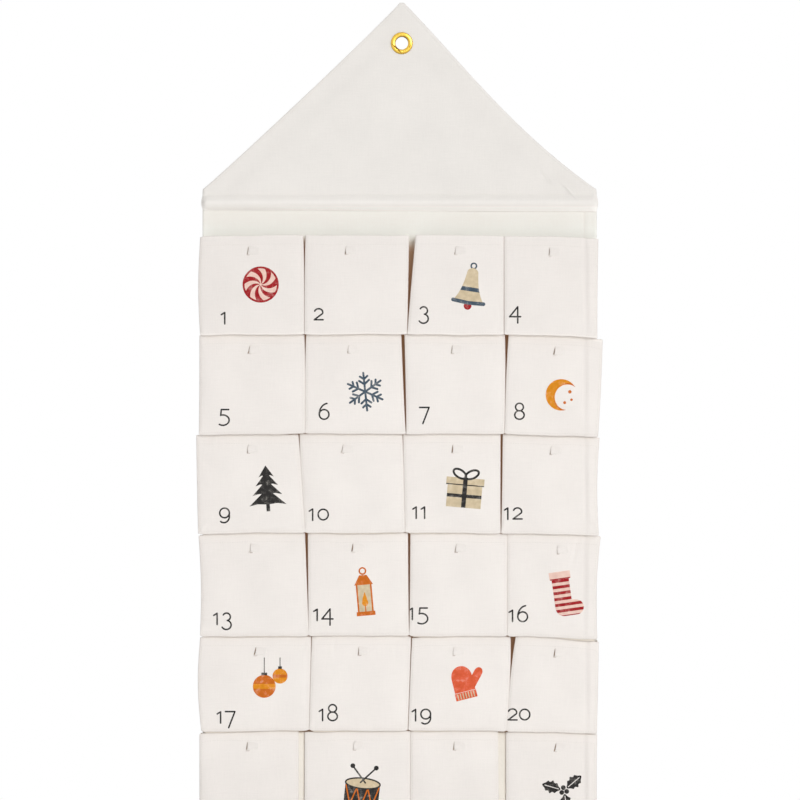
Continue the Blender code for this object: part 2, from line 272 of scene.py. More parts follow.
@dataclass(frozen=True)
class Weave:
    """A plain weave: threads that pass over and under each other."""

    pitch: float = 0.56 * MM
    slub_length: float = 22 * MM

    def threads(self, shade: Shade) -> tuple[Signal, Signal]:
        """The cloth's height and its slubs.

        Args:
            shade: The material that it goes into.

        Returns:
            The height between 0 in the holes and about 1 on the threads, and the threads' unevenness about a half.
        """
        across, along = shade.cloth()
        turn = math.pi / self.pitch
        warp = (across * turn).sine()
        weft = (along * turn).sine()
        over = warp * weft
        height = (abs(warp) * (0.5 + 0.5 * over)).larger(abs(weft) * (0.5 - 0.5 * over))
        fine = 0.5 / self.pitch
        coarse = 1 / self.slub_length
        upright = shade.noise(shade.vector(across * fine, along * coarse), 1.0)
        level = shade.noise(shade.vector(across * coarse, along * fine), 1.0)
        slub = (upright + level) * 0.5
        return height * (0.6 + 0.8 * slub), slub


@dataclass(frozen=True)
class Canvas:
    """Unbleached cotton canvas, pressed, a little darker in its seams and where shade is painted, lighter where
    light is painted.

    Where painted shade and glow is laid on, it takes its painted shade colour and glows with a painted glow, in
    place of shade and bounced light.
    """

    name: str
    colour: Colour
    # The colour and the emission of painted shade and glow
    deep_colour: Colour = paint(128, 96, 70)
    glow: Colour = (0.0, 0.0, 0.0)
    shaded: float = 0.925
    relief: float = 0.11 * MM
    mottle_size: float = 60 * MM
    lint_size: float = 2.5 * MM
    weave: Weave = Weave()
    lightness: float = 0.62
    mottled: float = 0.55
    slubbed: float = 0.7
    woven: float = 0.28
    linty: float = 0.2
    seam_shade: float = 0.8

    def make(self) -> bpy.types.Material:
        """The material.

        Returns:
            The material, as Blender's own.
        """
        shade = Shade(self.name)
        height, slub = self.weave.threads(shade)
        across, along = shade.cloth()
        flat = shade.vector(across, along)
        mottle = shade.noise(flat, 1 / self.mottle_size, 3.0)
        lint = shade.noise(flat, 1 / self.lint_size, 2.0)
        # The seam value darkens for seam lines and painted shade, and brightens below zero as painted light; the
        # weave's holes are painted darker as painted shade
        seam = shade.painted(DARK_MARKS_AND_PAINTED_LIGHT)
        light = self.lightness + self.mottled * (mottle - 0.5) + self.slubbed * (slub - 0.5)
        light = light + self.woven * (height - 0.5) + self.linty * (lint - 0.5) - self.seam_shade * seam
        dark = tuple(part * self.shaded for part in self.colour)
        pale = tuple(min(0.95, part * (2 - self.shaded)) for part in self.colour)
        colour = shade.blend(light.larger(0.0).smaller(1.0), dark, pale)
        # Painted shade and glow: a blend to the painted shade colour, and a painted glow in place of bounced light
        shade_and_glow = shade.painted(SHADE_AND_GLOW)
        colour = shade.blend(shade_and_glow, colour, self.deep_colour)
        normal = shade.bump(height + 0.5 * lint, self.relief)
        return shade.finish(
            Base_Color=colour,
            Emission_Color=shade.blend(shade_and_glow, (0.0, 0.0, 0.0), self.glow),
            Emission_Strength=1.0,
            Roughness=0.86 + 0.1 * slub,
            Normal=normal,
            Specular_IOR_Level=0.12,
            Sheen_Weight=0.08,
            Sheen_Roughness=0.5,
        )


@dataclass(frozen=True)
class Print:
    """Ink pressed into canvas with a screen, so that the weave shows through it and a few threads stay bare."""

    name: str
    colour: Colour
    bare: Colour = paint(232, 226, 216)
    relief: float = 0.10 * MM
    weave: Weave = Weave()

    def make(self) -> bpy.types.Material:
        """The material.

        Returns:
            The material, as Blender's own.
        """
        shade = Shade(self.name)
        height, slub = self.weave.threads(shade)
        across, along = shade.cloth()
        patches = shade.noise(shade.vector(across, along), 1 / (7 * MM), 4.0)
        worn = (patches + 0.35 * height + 0.3 * (slub - 0.5)).rise(0.78, 1.02) * 0.55
        streak = (0.5 + 1.6 * (patches - 0.5) + 0.5 * (slub - 0.5)).larger(0.0).smaller(1.0)
        light = tuple(min(0.95, 1.18 * part + 0.012) for part in self.colour)
        dark = tuple(0.84 * part for part in self.colour)
        colour = shade.blend(worn, shade.blend(streak, dark, light), self.bare)
        return shade.finish(
            Base_Color=colour,
            Roughness=0.72 + 0.2 * slub,
            Normal=shade.bump(height, self.relief),
            Specular_IOR_Level=0.2,
        )


@dataclass(frozen=True)
class Thread:
    """Cotton sewing thread."""

    name: str
    colour: Colour

    def make(self) -> bpy.types.Material:
        """The material.

        Returns:
            The material, as Blender's own.
        """
        shade = Shade(self.name)
        x, y, z = shade.place()
        fibre = shade.noise(shade.vector(x, y, z), 1 / (0.35 * MM), 3.0)
        dark = tuple(part * 0.78 for part in self.colour)
        colour = shade.blend(fibre.rise(0.3, 0.7), dark, self.colour)
        normal = shade.bump(fibre, 0.05 * MM)
        return shade.finish(Base_Color=colour, Roughness=0.8, Normal=normal, Specular_IOR_Level=0.2)


@dataclass(frozen=True)
class Brass:
    """Polished brass with fine rubbing marks, duller where it meets the cloth, with painted dark reflections where
    they are laid on.
    """

    name: str
    colour: Colour = paint(232, 192, 84)
    tarnish: Colour = paint(84, 56, 10)

    def make(self) -> bpy.types.Material:
        """The material.

        Returns:
            The material, as Blender's own.
        """
        shade = Shade(self.name)
        x, y, z = shade.place()
        cloudy = shade.noise(shade.vector(x, y, z), 1 / (3 * MM), 4.0)
        rubbed = shade.noise(shade.vector(x * 6, y, z * 0.6), 1 / (0.5 * MM), 3.0)
        # Tarnish, and painted dark reflections, from the painted value
        dull = (shade.painted(DARK_MARKS_AND_PAINTED_LIGHT) + 0.25 * cloudy.rise(0.5, 0.8)).smaller(1.0)
        colour = shade.blend(dull, self.colour, self.tarnish)
        roughness = 0.14 + 0.16 * cloudy + 0.08 * rubbed + 0.35 * dull
        normal = shade.bump(rubbed + cloudy, 0.02 * MM)
        return shade.finish(Base_Color=colour, Roughness=roughness, Metallic=1.0, Normal=normal)


@dataclass(frozen=True)
class Wood:
    """Sanded beech, with its grain along X and short dark flecks."""

    name: str
    colour: Colour = paint(214, 182, 140)
    grain_colour: Colour = paint(176, 136, 92)

    def make(self) -> bpy.types.Material:
        """The material.

        Returns:
            The material, as Blender's own.
        """
        shade = Shade(self.name)
        x, y, z = shade.place()
        grain = shade.noise(shade.vector(x * 0.05, y, z), 1 / (0.9 * MM), 4.0)
        fleck = shade.noise(shade.vector(x * 0.25, y, z), 1 / (0.4 * MM), 2.0).rise(0.62, 0.7)
        colour = shade.blend((grain.rise(0.35, 0.7) + 0.4 * fleck).smaller(1.0), self.colour, self.grain_colour)
        return shade.finish(Base_Color=colour, Roughness=0.5 + 0.2 * grain, Normal=shade.bump(grain, 0.05 * MM))


class Ink(Enum):
    """The inks of the prints."""

    CHARCOAL = paint(42, 40, 39)
    RED = paint(160, 22, 30)
    PINK = paint(244, 202, 188)
    MUSTARD = paint(222, 140, 20)
    ORANGE = paint(202, 104, 24)
    SLATE = paint(68, 84, 98)
    BEIGE = paint(208, 190, 158)
    CORAL = paint(220, 92, 56)


@dataclass
class Finishes:
    """Every material of the calendar, made once."""

    panel: bpy.types.Material = field(init=False)
    gable: bpy.types.Material = field(init=False)
    pocket: bpy.types.Material = field(init=False)
    gusset: bpy.types.Material = field(init=False)
    tape: bpy.types.Material = field(init=False)
    thread: bpy.types.Material = field(init=False)
    brass: bpy.types.Material = field(init=False)
    wood: bpy.types.Material = field(init=False)
    inks: list[bpy.types.Material] = field(init=False)

    def __post_init__(self) -> None:
        """Makes them."""
        # Painted shade and glow: a brown for the shade between the pockets, a warm painted glow for the light
        # bounced there, and a pale colour and painted glow that lighten the gable's sleeve
        painted_warm_glow = (0.085, 0.045, 0.022)
        painted_pale_glow = (0.11, 0.107, 0.103)
        deep = paint(168, 130, 98)
        self.panel = Canvas("panel_canvas", paint(248, 243, 235), deep, painted_warm_glow).make()
        self.gable = Canvas("gable_canvas", paint(239, 235, 230), paint(246, 242, 237), painted_pale_glow).make()
        self.pocket = Canvas("pocket_canvas", paint(242, 236, 231)).make()
        self.gusset = Canvas("gusset_canvas", paint(235, 228, 217), deep, painted_warm_glow).make()
        self.tape = Canvas("loop_tape", paint(242, 236, 231), weave=Weave(0.42 * MM, 12 * MM)).make()
        self.thread = Thread("sewing_thread", paint(243, 238, 231)).make()
        self.brass = Brass("eyelet_brass").make()
        self.wood = Wood("dowel_wood").make()
        self.inks = [Print(f"ink_{ink.name.lower()}", ink.value).make() for ink in Ink]


# Mesh tools


def mix(low: float, high: float, share: float) -> float:
    """The value at this share of the way from low to high. Works on arrays too."""
    return low + (high - low) * share


def linked(name: str, data: bpy.types.ID) -> bpy.types.Object:
    """A new object of this data, linked to the scene.

    Args:
        name: Its name.
        data: Its data.

    Returns:
        The object.
    """
    made = bpy.data.objects.new(name, data)
    bpy.context.scene.collection.objects.link(made)
    return made


def solid(name: str, points: list, faces: list, materials: Sequence[bpy.types.Material]) -> bpy.types.Object:
    """Makes an object with smooth shading.

    Args:
        name: The piece's name.
        points: Its points.
        faces: Its faces, as numbers of points.
        materials: Its materials.

    Returns:
        The object, linked to the scene.
    """
    mesh = bpy.data.meshes.new(name)
    mesh.from_pydata(points, [], faces)
    for material in materials:
        mesh.materials.append(material)
    mesh.polygons.foreach_set("use_smooth", np.ones(len(mesh.polygons), bool))
    return linked(name, mesh)


def paint_points(mesh: bpy.types.Mesh, name: str, values: np.ndarray) -> None:
    """Writes a value on each of the mesh's points."""
    attribute = mesh.attributes.new(name, "FLOAT", "POINT")
    attribute.data.foreach_set("value", values.astype(np.float32))


def smooth(value: np.ndarray, start: float, end: float) -> np.ndarray:
    """A smooth step.

    Args:
        value: What it depends on.
        start: The value up to which it is 0.
        end: The value from which it is 1.

    Returns:
        The step at each value.
    """
    share = np.clip((value - start) / (end - start), 0, 1)
    return share * share * (3 - 2 * share)


def hump(value: np.ndarray, centre: float, spread: float) -> np.ndarray:
    """A smooth hump of height 1.

    Args:
        value: What it depends on.
        centre: The value at its top.
        spread: How far from there it has fallen to about a third.

    Returns:
        The hump's height at each value.
    """
    return np.exp(-(((value - centre) / spread) ** 2))


def stations(count: int, *extra: float) -> np.ndarray:
    """Even shares from 0 to 1, with more of them at both ends and at the extra places.

    Args:
        count: How many even steps there are.
        extra: Shares that get a station of their own. Even ones that come close to them give way.

    Returns:
        The shares in order.
    """
    ends = (0.004, 0.010, 0.018, 0.030, 0.045)
    kept = [0.0, 1.0, *ends, *(1 - end for end in ends), *(share for share in extra if 0 < share < 1)]
    for share in np.linspace(0, 1, count + 1):
        if min(abs(share - other) for other in kept) > 0.35 / count:
            kept.append(float(share))
    return np.unique(np.round(kept, 6))


def grid_faces(across: int, along: int) -> np.ndarray:
    """The four-sided faces of a grid of points that runs across first.

    Args:
        across: How many points each row has.
        along: How many rows there are.

    Returns:
        Each face as four numbers of points.
    """
    index = np.arange(across * along).reshape(along, across)
    corners = (index[:-1, :-1], index[:-1, 1:], index[1:, 1:], index[1:, :-1])
    return np.stack([corner.ravel() for corner in corners], axis=1)


def free_edges(faces: np.ndarray) -> tuple[np.ndarray, np.ndarray, np.ndarray]:
    """The start, the end and the face of each edge that only one face has.

    Args:
        faces: The faces, as numbers of points.

    Returns:
        One array of each.
    """
    start = faces.ravel()
    end = np.roll(faces, -1, axis=1).ravel()
    size = faces.max() + 1
    lone = ~np.isin(start * size + end, end * size + start)
    owner = np.repeat(np.arange(len(faces)), faces.shape[1])
    return start[lone], end[lone], owner[lone]


def punched(outer: np.ndarray, inner: np.ndarray, faces: np.ndarray, hole: float) -> np.ndarray:
    """Punches a round hole about the origin, and draws the points at its edge onto the circle.

    Args:
        outer: The outer face's points, which are changed.
        inner: The inner face's points, which are changed.
        faces: The faces of both.
        hole: The hole's radius.

    Returns:
        The faces that are left.
    """
    far = np.hypot(outer[:, 0], outer[:, 2])
    faces = faces[~(far[faces] < hole).any(axis=1)]
    near = (far < hole * HOLE_REACH) & np.isin(np.arange(len(outer)), free_edges(faces)[0])
    scale = hole / far[near]
    for points in (outer, inner):
        points[near, 0] *= scale
        points[near, 2] *= scale
    return faces


def unit(vectors: np.ndarray) -> np.ndarray:
    """The vectors with length 1."""
    return vectors / np.maximum(np.linalg.norm(vectors, axis=-1, keepdims=True), 1e-12)


def grid_normals(points: np.ndarray, across: int, along: int) -> np.ndarray:
    """The normals of a grid of points that runs across first."""
    shaped = points.reshape(along, across, 3)
    return unit(np.cross(np.gradient(shaped, axis=1), np.gradient(shaped, axis=0))).reshape(-1, 3)


@dataclass
class Sheet:
    """A closed thin solid: an outer face, an inner face, and a rounded rim along every free edge."""

    outer: np.ndarray
    inner: np.ndarray
    faces: np.ndarray
    flat: np.ndarray
    painted: dict[str, np.ndarray] = field(default_factory=dict)
    inks: Optional[np.ndarray] = None
    rim_bulge: float = 0.35

    def make(self, name: str, materials: Sequence[bpy.types.Material]) -> bpy.types.Object:
        """Makes the object.

        Args:
            name: The piece's name.
            materials: Its materials. Each face of the outer grid has its own where inks says so.

        Returns:
            The object, linked to the scene.
        """
        count = len(self.outer)
        start, end, owner = free_edges(self.faces)
        rim = np.unique(start)
        place = np.full(count, -1)
        place[rim] = 2 * count + np.arange(len(rim))
        middle = (self.outer[rim] + self.inner[rim]) / 2 + self._bulge(start, end)[rim]
        points = np.concatenate([self.outer, self.inner, middle])
        first = np.stack([end, start, place[start], place[end]], axis=1)
        second = np.stack([place[end], place[start], start + count, end + count], axis=1)
        inside = self.faces[:, ::-1] + count
        faces = self.faces.tolist() + inside.tolist() + first.tolist() + second.tolist()
        made = solid(name, points.tolist(), faces, materials)
        mesh = made.data
        self._paint(mesh, np.concatenate([np.arange(count), np.arange(count), rim]))
        if self.inks is not None:
            shown = np.concatenate([self.inks, self.inks, self.inks[owner], self.inks[owner]])
            mesh.polygons.foreach_set("material_index", shown.astype(np.int32))
        mesh.update()
        return made

    def trimmed(self) -> "Sheet":
        """The sheet with only the points that its faces use.

        Returns:
            A new sheet.
        """
        used, renamed = np.unique(self.faces, return_inverse=True)
        painted = {name: values[used] for name, values in self.painted.items()}
        faces = renamed.reshape(self.faces.shape)
        return Sheet(self.outer[used], self.inner[used], faces, self.flat[used], painted)

    def _bulge(self, start: np.ndarray, end: np.ndarray) -> np.ndarray:
        """How far the rim's middle stands out from the edge, for every point.

        Args:
            start: The start of each free edge.
            end: Its end.

        Returns:
            The way out, as a vector.
        """
        through = self.outer - self.inner
        thickness = np.linalg.norm(through, axis=1, keepdims=True)
        outward = np.zeros_like(self.outer)
        side = np.cross(self.outer[end] - self.outer[start], unit(through[start]))
        np.add.at(outward, start, side)
        np.add.at(outward, end, side)
        return unit(outward) * thickness * self.rim_bulge

    def _paint(self, mesh: bpy.types.Mesh, order: np.ndarray) -> None:
        """Writes the flat cloth's map and the painted values. Painted shade and glow lie on the outer face alone,
        and painted light stays off the inner face and the rim.

        Args:
            mesh: The sheet's mesh.
            order: The outer face's point that each point of the mesh takes its values from.
        """
        corners = np.zeros(len(mesh.loops), np.int32)
        mesh.loops.foreach_get("vertex_index", corners)
        layer = mesh.uv_layers.new(name=CLOTH_MAP)
        layer.data.foreach_set("uv", self.flat[order][corners].astype(np.float32).ravel())
        for name, values in self.painted.items():
            shown = values[order].astype(np.float32)
            least, most = (0, 0) if name == SHADE_AND_GLOW else (np.median(values), values.max())
            shown[len(self.outer) :] = np.clip(shown[len(self.outer) :], least, most)
            paint_points(mesh, name, shown)


@dataclass(frozen=True)
class Crease:
    """A soft ridge in a sheet, or a dent where its height is below zero, that fades towards both ends."""

    x: float
    z: float
    angle: float
    length: float
    spread: float
    height: float

    def lift(self, x: np.ndarray, z: np.ndarray) -> np.ndarray:
        """How far it lifts the sheet at each place.

        Args:
            x: The points' x.
            z: The points' z.

        Returns:
            The lift at each place.
        """
        cos, sin = math.cos(self.angle), math.sin(self.angle)
        along = (x - self.x) * cos + (z - self.z) * sin
        across = (z - self.z) * cos - (x - self.x) * sin
        return self.height * np.exp(-((along / self.length) ** 2) - (across / self.spread) ** 2)


@dataclass
class Stitching:
    """Rows of stitches, each a short thread that dips into the cloth at both ends."""

    length: float = 2.5 * MM
    pitch: float = 3.1 * MM
    radius: float = 0.20 * MM
    sink: float = 0.13 * MM
    sides: int = 5
    points: list[np.ndarray] = field(default_factory=list)

    def run(self, path: np.ndarray, up: Sequence[float]) -> None:
        """Adds a row of stitches.

        Args:
            path: The points that the row follows, on the cloth.
            up: The direction away from the cloth.
        """
        steps = np.linalg.norm(np.diff(path, axis=0), axis=1)
        reached = np.concatenate([[0], np.cumsum(steps)])
        count = int(reached[-1] / self.pitch)
        if count < 1:
            return
        middles = (np.arange(count) + 0.5) * reached[-1] / count
        ends = []
        for offset in (-self.length / 2, self.length / 2):
            at = np.clip(middles + offset, 0, reached[-1])
            ends.append(np.stack([np.interp(at, reached, path[:, axis]) for axis in range(3)], axis=1))
        along = unit(ends[1] - ends[0])
        above = np.broadcast_to(np.asarray(up, float), along.shape)
        across = unit(np.cross(along, above))
        above = unit(np.cross(across, along))
        for share, wide, high in ((0.0, 0.35, -1.0), (0.22, 1.0, 0.35), (0.78, 1.0, 0.35), (1.0, 0.35, -1.0)):
            centre = mix(ends[0], ends[1], share) + above * self.sink * high
            for side in range(self.sides):
                angle = 2 * math.pi * side / self.sides
                reach = across * math.cos(angle) + above * math.sin(angle)
                self.points.append((centre + reach * self.radius * wide)[:, None])

    def make(self, name: str, material: bpy.types.Material) -> bpy.types.Object:
        """Makes one object of all the rows.

        Args:
            name: Its name.
            material: Its material.

        Returns:
            The object, linked to the scene.
        """
        rings = 4
        whole = rings * self.sides
        rows = [np.concatenate(self.points[k : k + whole], axis=1) for k in range(0, len(self.points), whole)]
        points = np.concatenate(rows).reshape(-1, 3)
        count = len(points) // whole
        quads = []
        for ring in range(rings - 1):
            for side in range(self.sides):
                low, high = ring * self.sides, (ring + 1) * self.sides
                nearby = (side + 1) % self.sides
                quads.append((low + side, low + nearby, high + nearby, high + side))
        last = (rings - 1) * self.sides
        caps = [tuple(range(self.sides))[::-1], tuple(last + side for side in range(self.sides))]
        base = (np.arange(count) * whole)[:, None, None]
        faces = (np.array(quads)[None] + base).reshape(-1, 4).tolist()
        faces += (np.array(caps)[None] + base).reshape(-1, self.sides).tolist()
        return solid(name, points.tolist(), faces, [material])


# Prints

Outline = np.ndarray


def arc(x: float, y: float, rx: float, ry: float, start: float, end: float) -> Outline:
    """The points of an elliptical arc, from one angle to another in degrees.

    Args:
        x: The centre's x.
        y: The centre's y.
        rx: The reach across.
        ry: The reach up.
        start: The first angle.
        end: The last angle.

    Returns:
        The points.
    """
    steps = max(4, int(abs(end - start) / 9))
    angles = np.radians(np.linspace(start, end, steps + 1))
    return np.stack([x + rx * np.cos(angles), y + ry * np.sin(angles)], axis=1)


def disc(x: float, y: float, radius: float, tall: float = 1.0) -> Outline:
    """The outline of a disc, or of an ellipse that is this many times as tall as it is wide."""
    return arc(x, y, radius, radius * tall, 0, 360)[:-1]


def line(*values: float) -> Outline:
    """Points from their x and y in turn."""
    return np.array(values, float).reshape(-1, 2)


def box(x: float, y: float, width: float, height: float) -> Outline:
    """The outline of an upright box about its centre."""
    w, h = width / 2, height / 2
    return line(x - w, y - h, x + w, y - h, x + w, y + h, x - w, y + h)


def turned(points: Outline, degrees: float) -> Outline:
    """The points turned about the origin."""
    cos, sin = math.cos(math.radians(degrees)), math.sin(math.radians(degrees))
    return points @ np.array([[cos, sin], [-sin, cos]])


def fine(outline: Outline, longest: float = 1.5 * MM) -> Outline:
    """The closed outline with more points on its longer edges, so that it can follow curved cloth.

    Args:
        outline: The outline.
        longest: How long an edge may be.

    Returns:
        The outline's new points.
    """
    points = []
    for start, end in zip(outline, np.roll(outline, -1, axis=0)):
        steps = max(1, math.ceil(float(np.hypot(*(end - start))) / longest))
        points += [mix(start, end, step / steps) for step in range(steps)]
    return np.array(points)


def inside(points: np.ndarray, outline: Outline) -> np.ndarray:
    """Which of the points lie inside a closed outline.

    Args:
        points: The points.
        outline: The outline.

    Returns:
        True for each point inside.
    """
    x, y = points[:, 0], points[:, 1]
    found = np.zeros(len(points), bool)
    for (x0, y0), (x1, y1) in zip(outline, np.roll(outline, -1, axis=0)):
        if y0 != y1:
            crosses = (y0 > y) != (y1 > y)
            found ^= crosses & (x < (x1 - x0) * (y - y0) / (y1 - y0) + x0)
    return found


@dataclass
class Patch:
    """One inked area: inside an odd number of its outlines, and inside the clip where there is one."""

    ink: Ink
    outlines: list[Outline]
    clip: Optional[Outline] = None

    def covers(self, points: np.ndarray) -> np.ndarray:
        """Which of the points it inks.

        Args:
            points: The points.

        Returns:
            True for each point that is inked.
        """
        found = np.zeros(len(points), bool)
        for outline in self.outlines:
            found ^= inside(points, outline)
        if self.clip is not None:
            found &= inside(points, self.clip)
        return found

    def moved(self, change: Callable[[Outline], Outline]) -> "Patch":
        """The patch with every point changed."""
        clip = None if self.clip is None else change(self.clip)
        return Patch(self.ink, [change(outline) for outline in self.outlines], clip)


def stroke(ink: Ink, path: Outline, width: float) -> Patch:
    """A pen stroke of even width with round ends. A path that ends where it starts makes a ring.

    Args:
        ink: Its ink.
        path: The points that the pen's middle passes.
        width: How wide it is.

    Returns:
        The stroke as a patch.
    """
    half = width / 2
    direction = unit(np.gradient(path, axis=0))
    closed = bool(np.allclose(path[0], path[-1]))
    if closed:
        direction[0] = direction[-1] = unit(path[1] - path[-2])
    side = np.stack([-direction[:, 1], direction[:, 0]], axis=1) * half
    if closed:
        return Patch(ink, [(path + side)[:-1], (path - side)[:-1]])
    first = math.degrees(math.atan2(direction[0, 1], direction[0, 0]))
    last = math.degrees(math.atan2(direction[-1, 1], direction[-1, 0]))
    end = arc(*path[-1], half, half, last + 90, last - 90)
    start = arc(*path[0], half, half, first - 90, first - 270)
    return Patch(ink, [np.concatenate([(path + side)[1:-1], end, (path - side)[::-1][1:-1], start])])


@dataclass(frozen=True)
class Numerals:
    """Old-style numerals drawn with a round pen. Their measures are shares of the height of a 1 or a 2."""

    height: float = 14.6 * MM
    pen: float = 2.0 * MM
    spacing_share: float = 0.17
    after_one_share: float = 0.42

    def digit(self, value: int) -> list[Outline]:
        """The pen's paths for one digit, on a baseline at 0.

        Args:
            value: The digit.

        Returns:
            The paths, as shares of the height.
        """
        paths = {
            0: [arc(0.50, 0.50, 0.44, 0.46, 0, 360)],
            1: [line(0.02, 0.80, 0.31, 0.98), line(0.31, 0.98, 0.31, 0.0)],
            2: [arc(0.42, 0.68, 0.36, 0.31, 160, -22), line(0.75, 0.56, 0.04, 0.03), line(0.04, 0.03, 0.81, 0.03)],
            3: [arc(0.40, 0.67, 0.33, 0.33, 150, -75), arc(0.38, -0.03, 0.42, 0.40, 78, -150)],
            4: [line(0.70, 1.0, 0.0, 0.14), line(0.0, 0.14, 0.95, 0.14), line(0.70, 1.0, 0.70, -0.40)],
            5: [line(0.88, 1.0, 0.24, 1.0), line(0.24, 1.0, 0.19, 0.49), arc(0.38, 0.08, 0.54, 0.45, 112, -125)],
            6: [arc(0.80, 0.43, 0.76, 0.95, 97, 180), arc(0.46, 0.42, 0.42, 0.42, 0, 360)],
            7: [line(0.0, 1.0, 0.82, 1.0), line(0.82, 1.0, 0.28, -0.40)],
            8: [arc(0.45, 1.06, 0.34, 0.33, 0, 360), arc(0.45, 0.37, 0.41, 0.37, 0, 360)],
            9: [
                arc(0.46, 0.58, 0.42, 0.42, 0, 360),
                line(0.88, 0.58, 0.87, 0.38),
                arc(0.40, 0.27, 0.48, 0.54, 12, -125),
            ],
        }
        return paths[value]

    def draw(self, number: int, left: float, baseline: float) -> list[Patch]:
        """The patches of a number.

        Args:
            number: The number.
            left: Where its left end lies.
            baseline: The height that it stands on.

        Returns:
            The strokes as patches.
        """
        patches = []
        reach = left
        for character in str(number):
            paths = [path * self.height for path in self.digit(int(character))]
            for path in paths:
                patches.append(stroke(Ink.CHARCOAL, path + (reach, baseline), self.pen))
            widest = max(path[:, 0].max() for path in paths)
            spacing = self.after_one_share if character == "1" else self.spacing_share
            reach += widest + spacing * self.height
        return patches


class Motif(Enum):
    """The pictures printed in half of the pockets, by the number of their pocket."""

    PEPPERMINT = 1
    BELL = 3
    SNOWFLAKE = 6
    MOON = 8
    FIR = 9
    PARCEL = 11
    LANTERN = 14
    STOCKING = 16
    BAUBLES = 17
    MITTEN = 19
    DRUM = 22
    HOLLY = 24


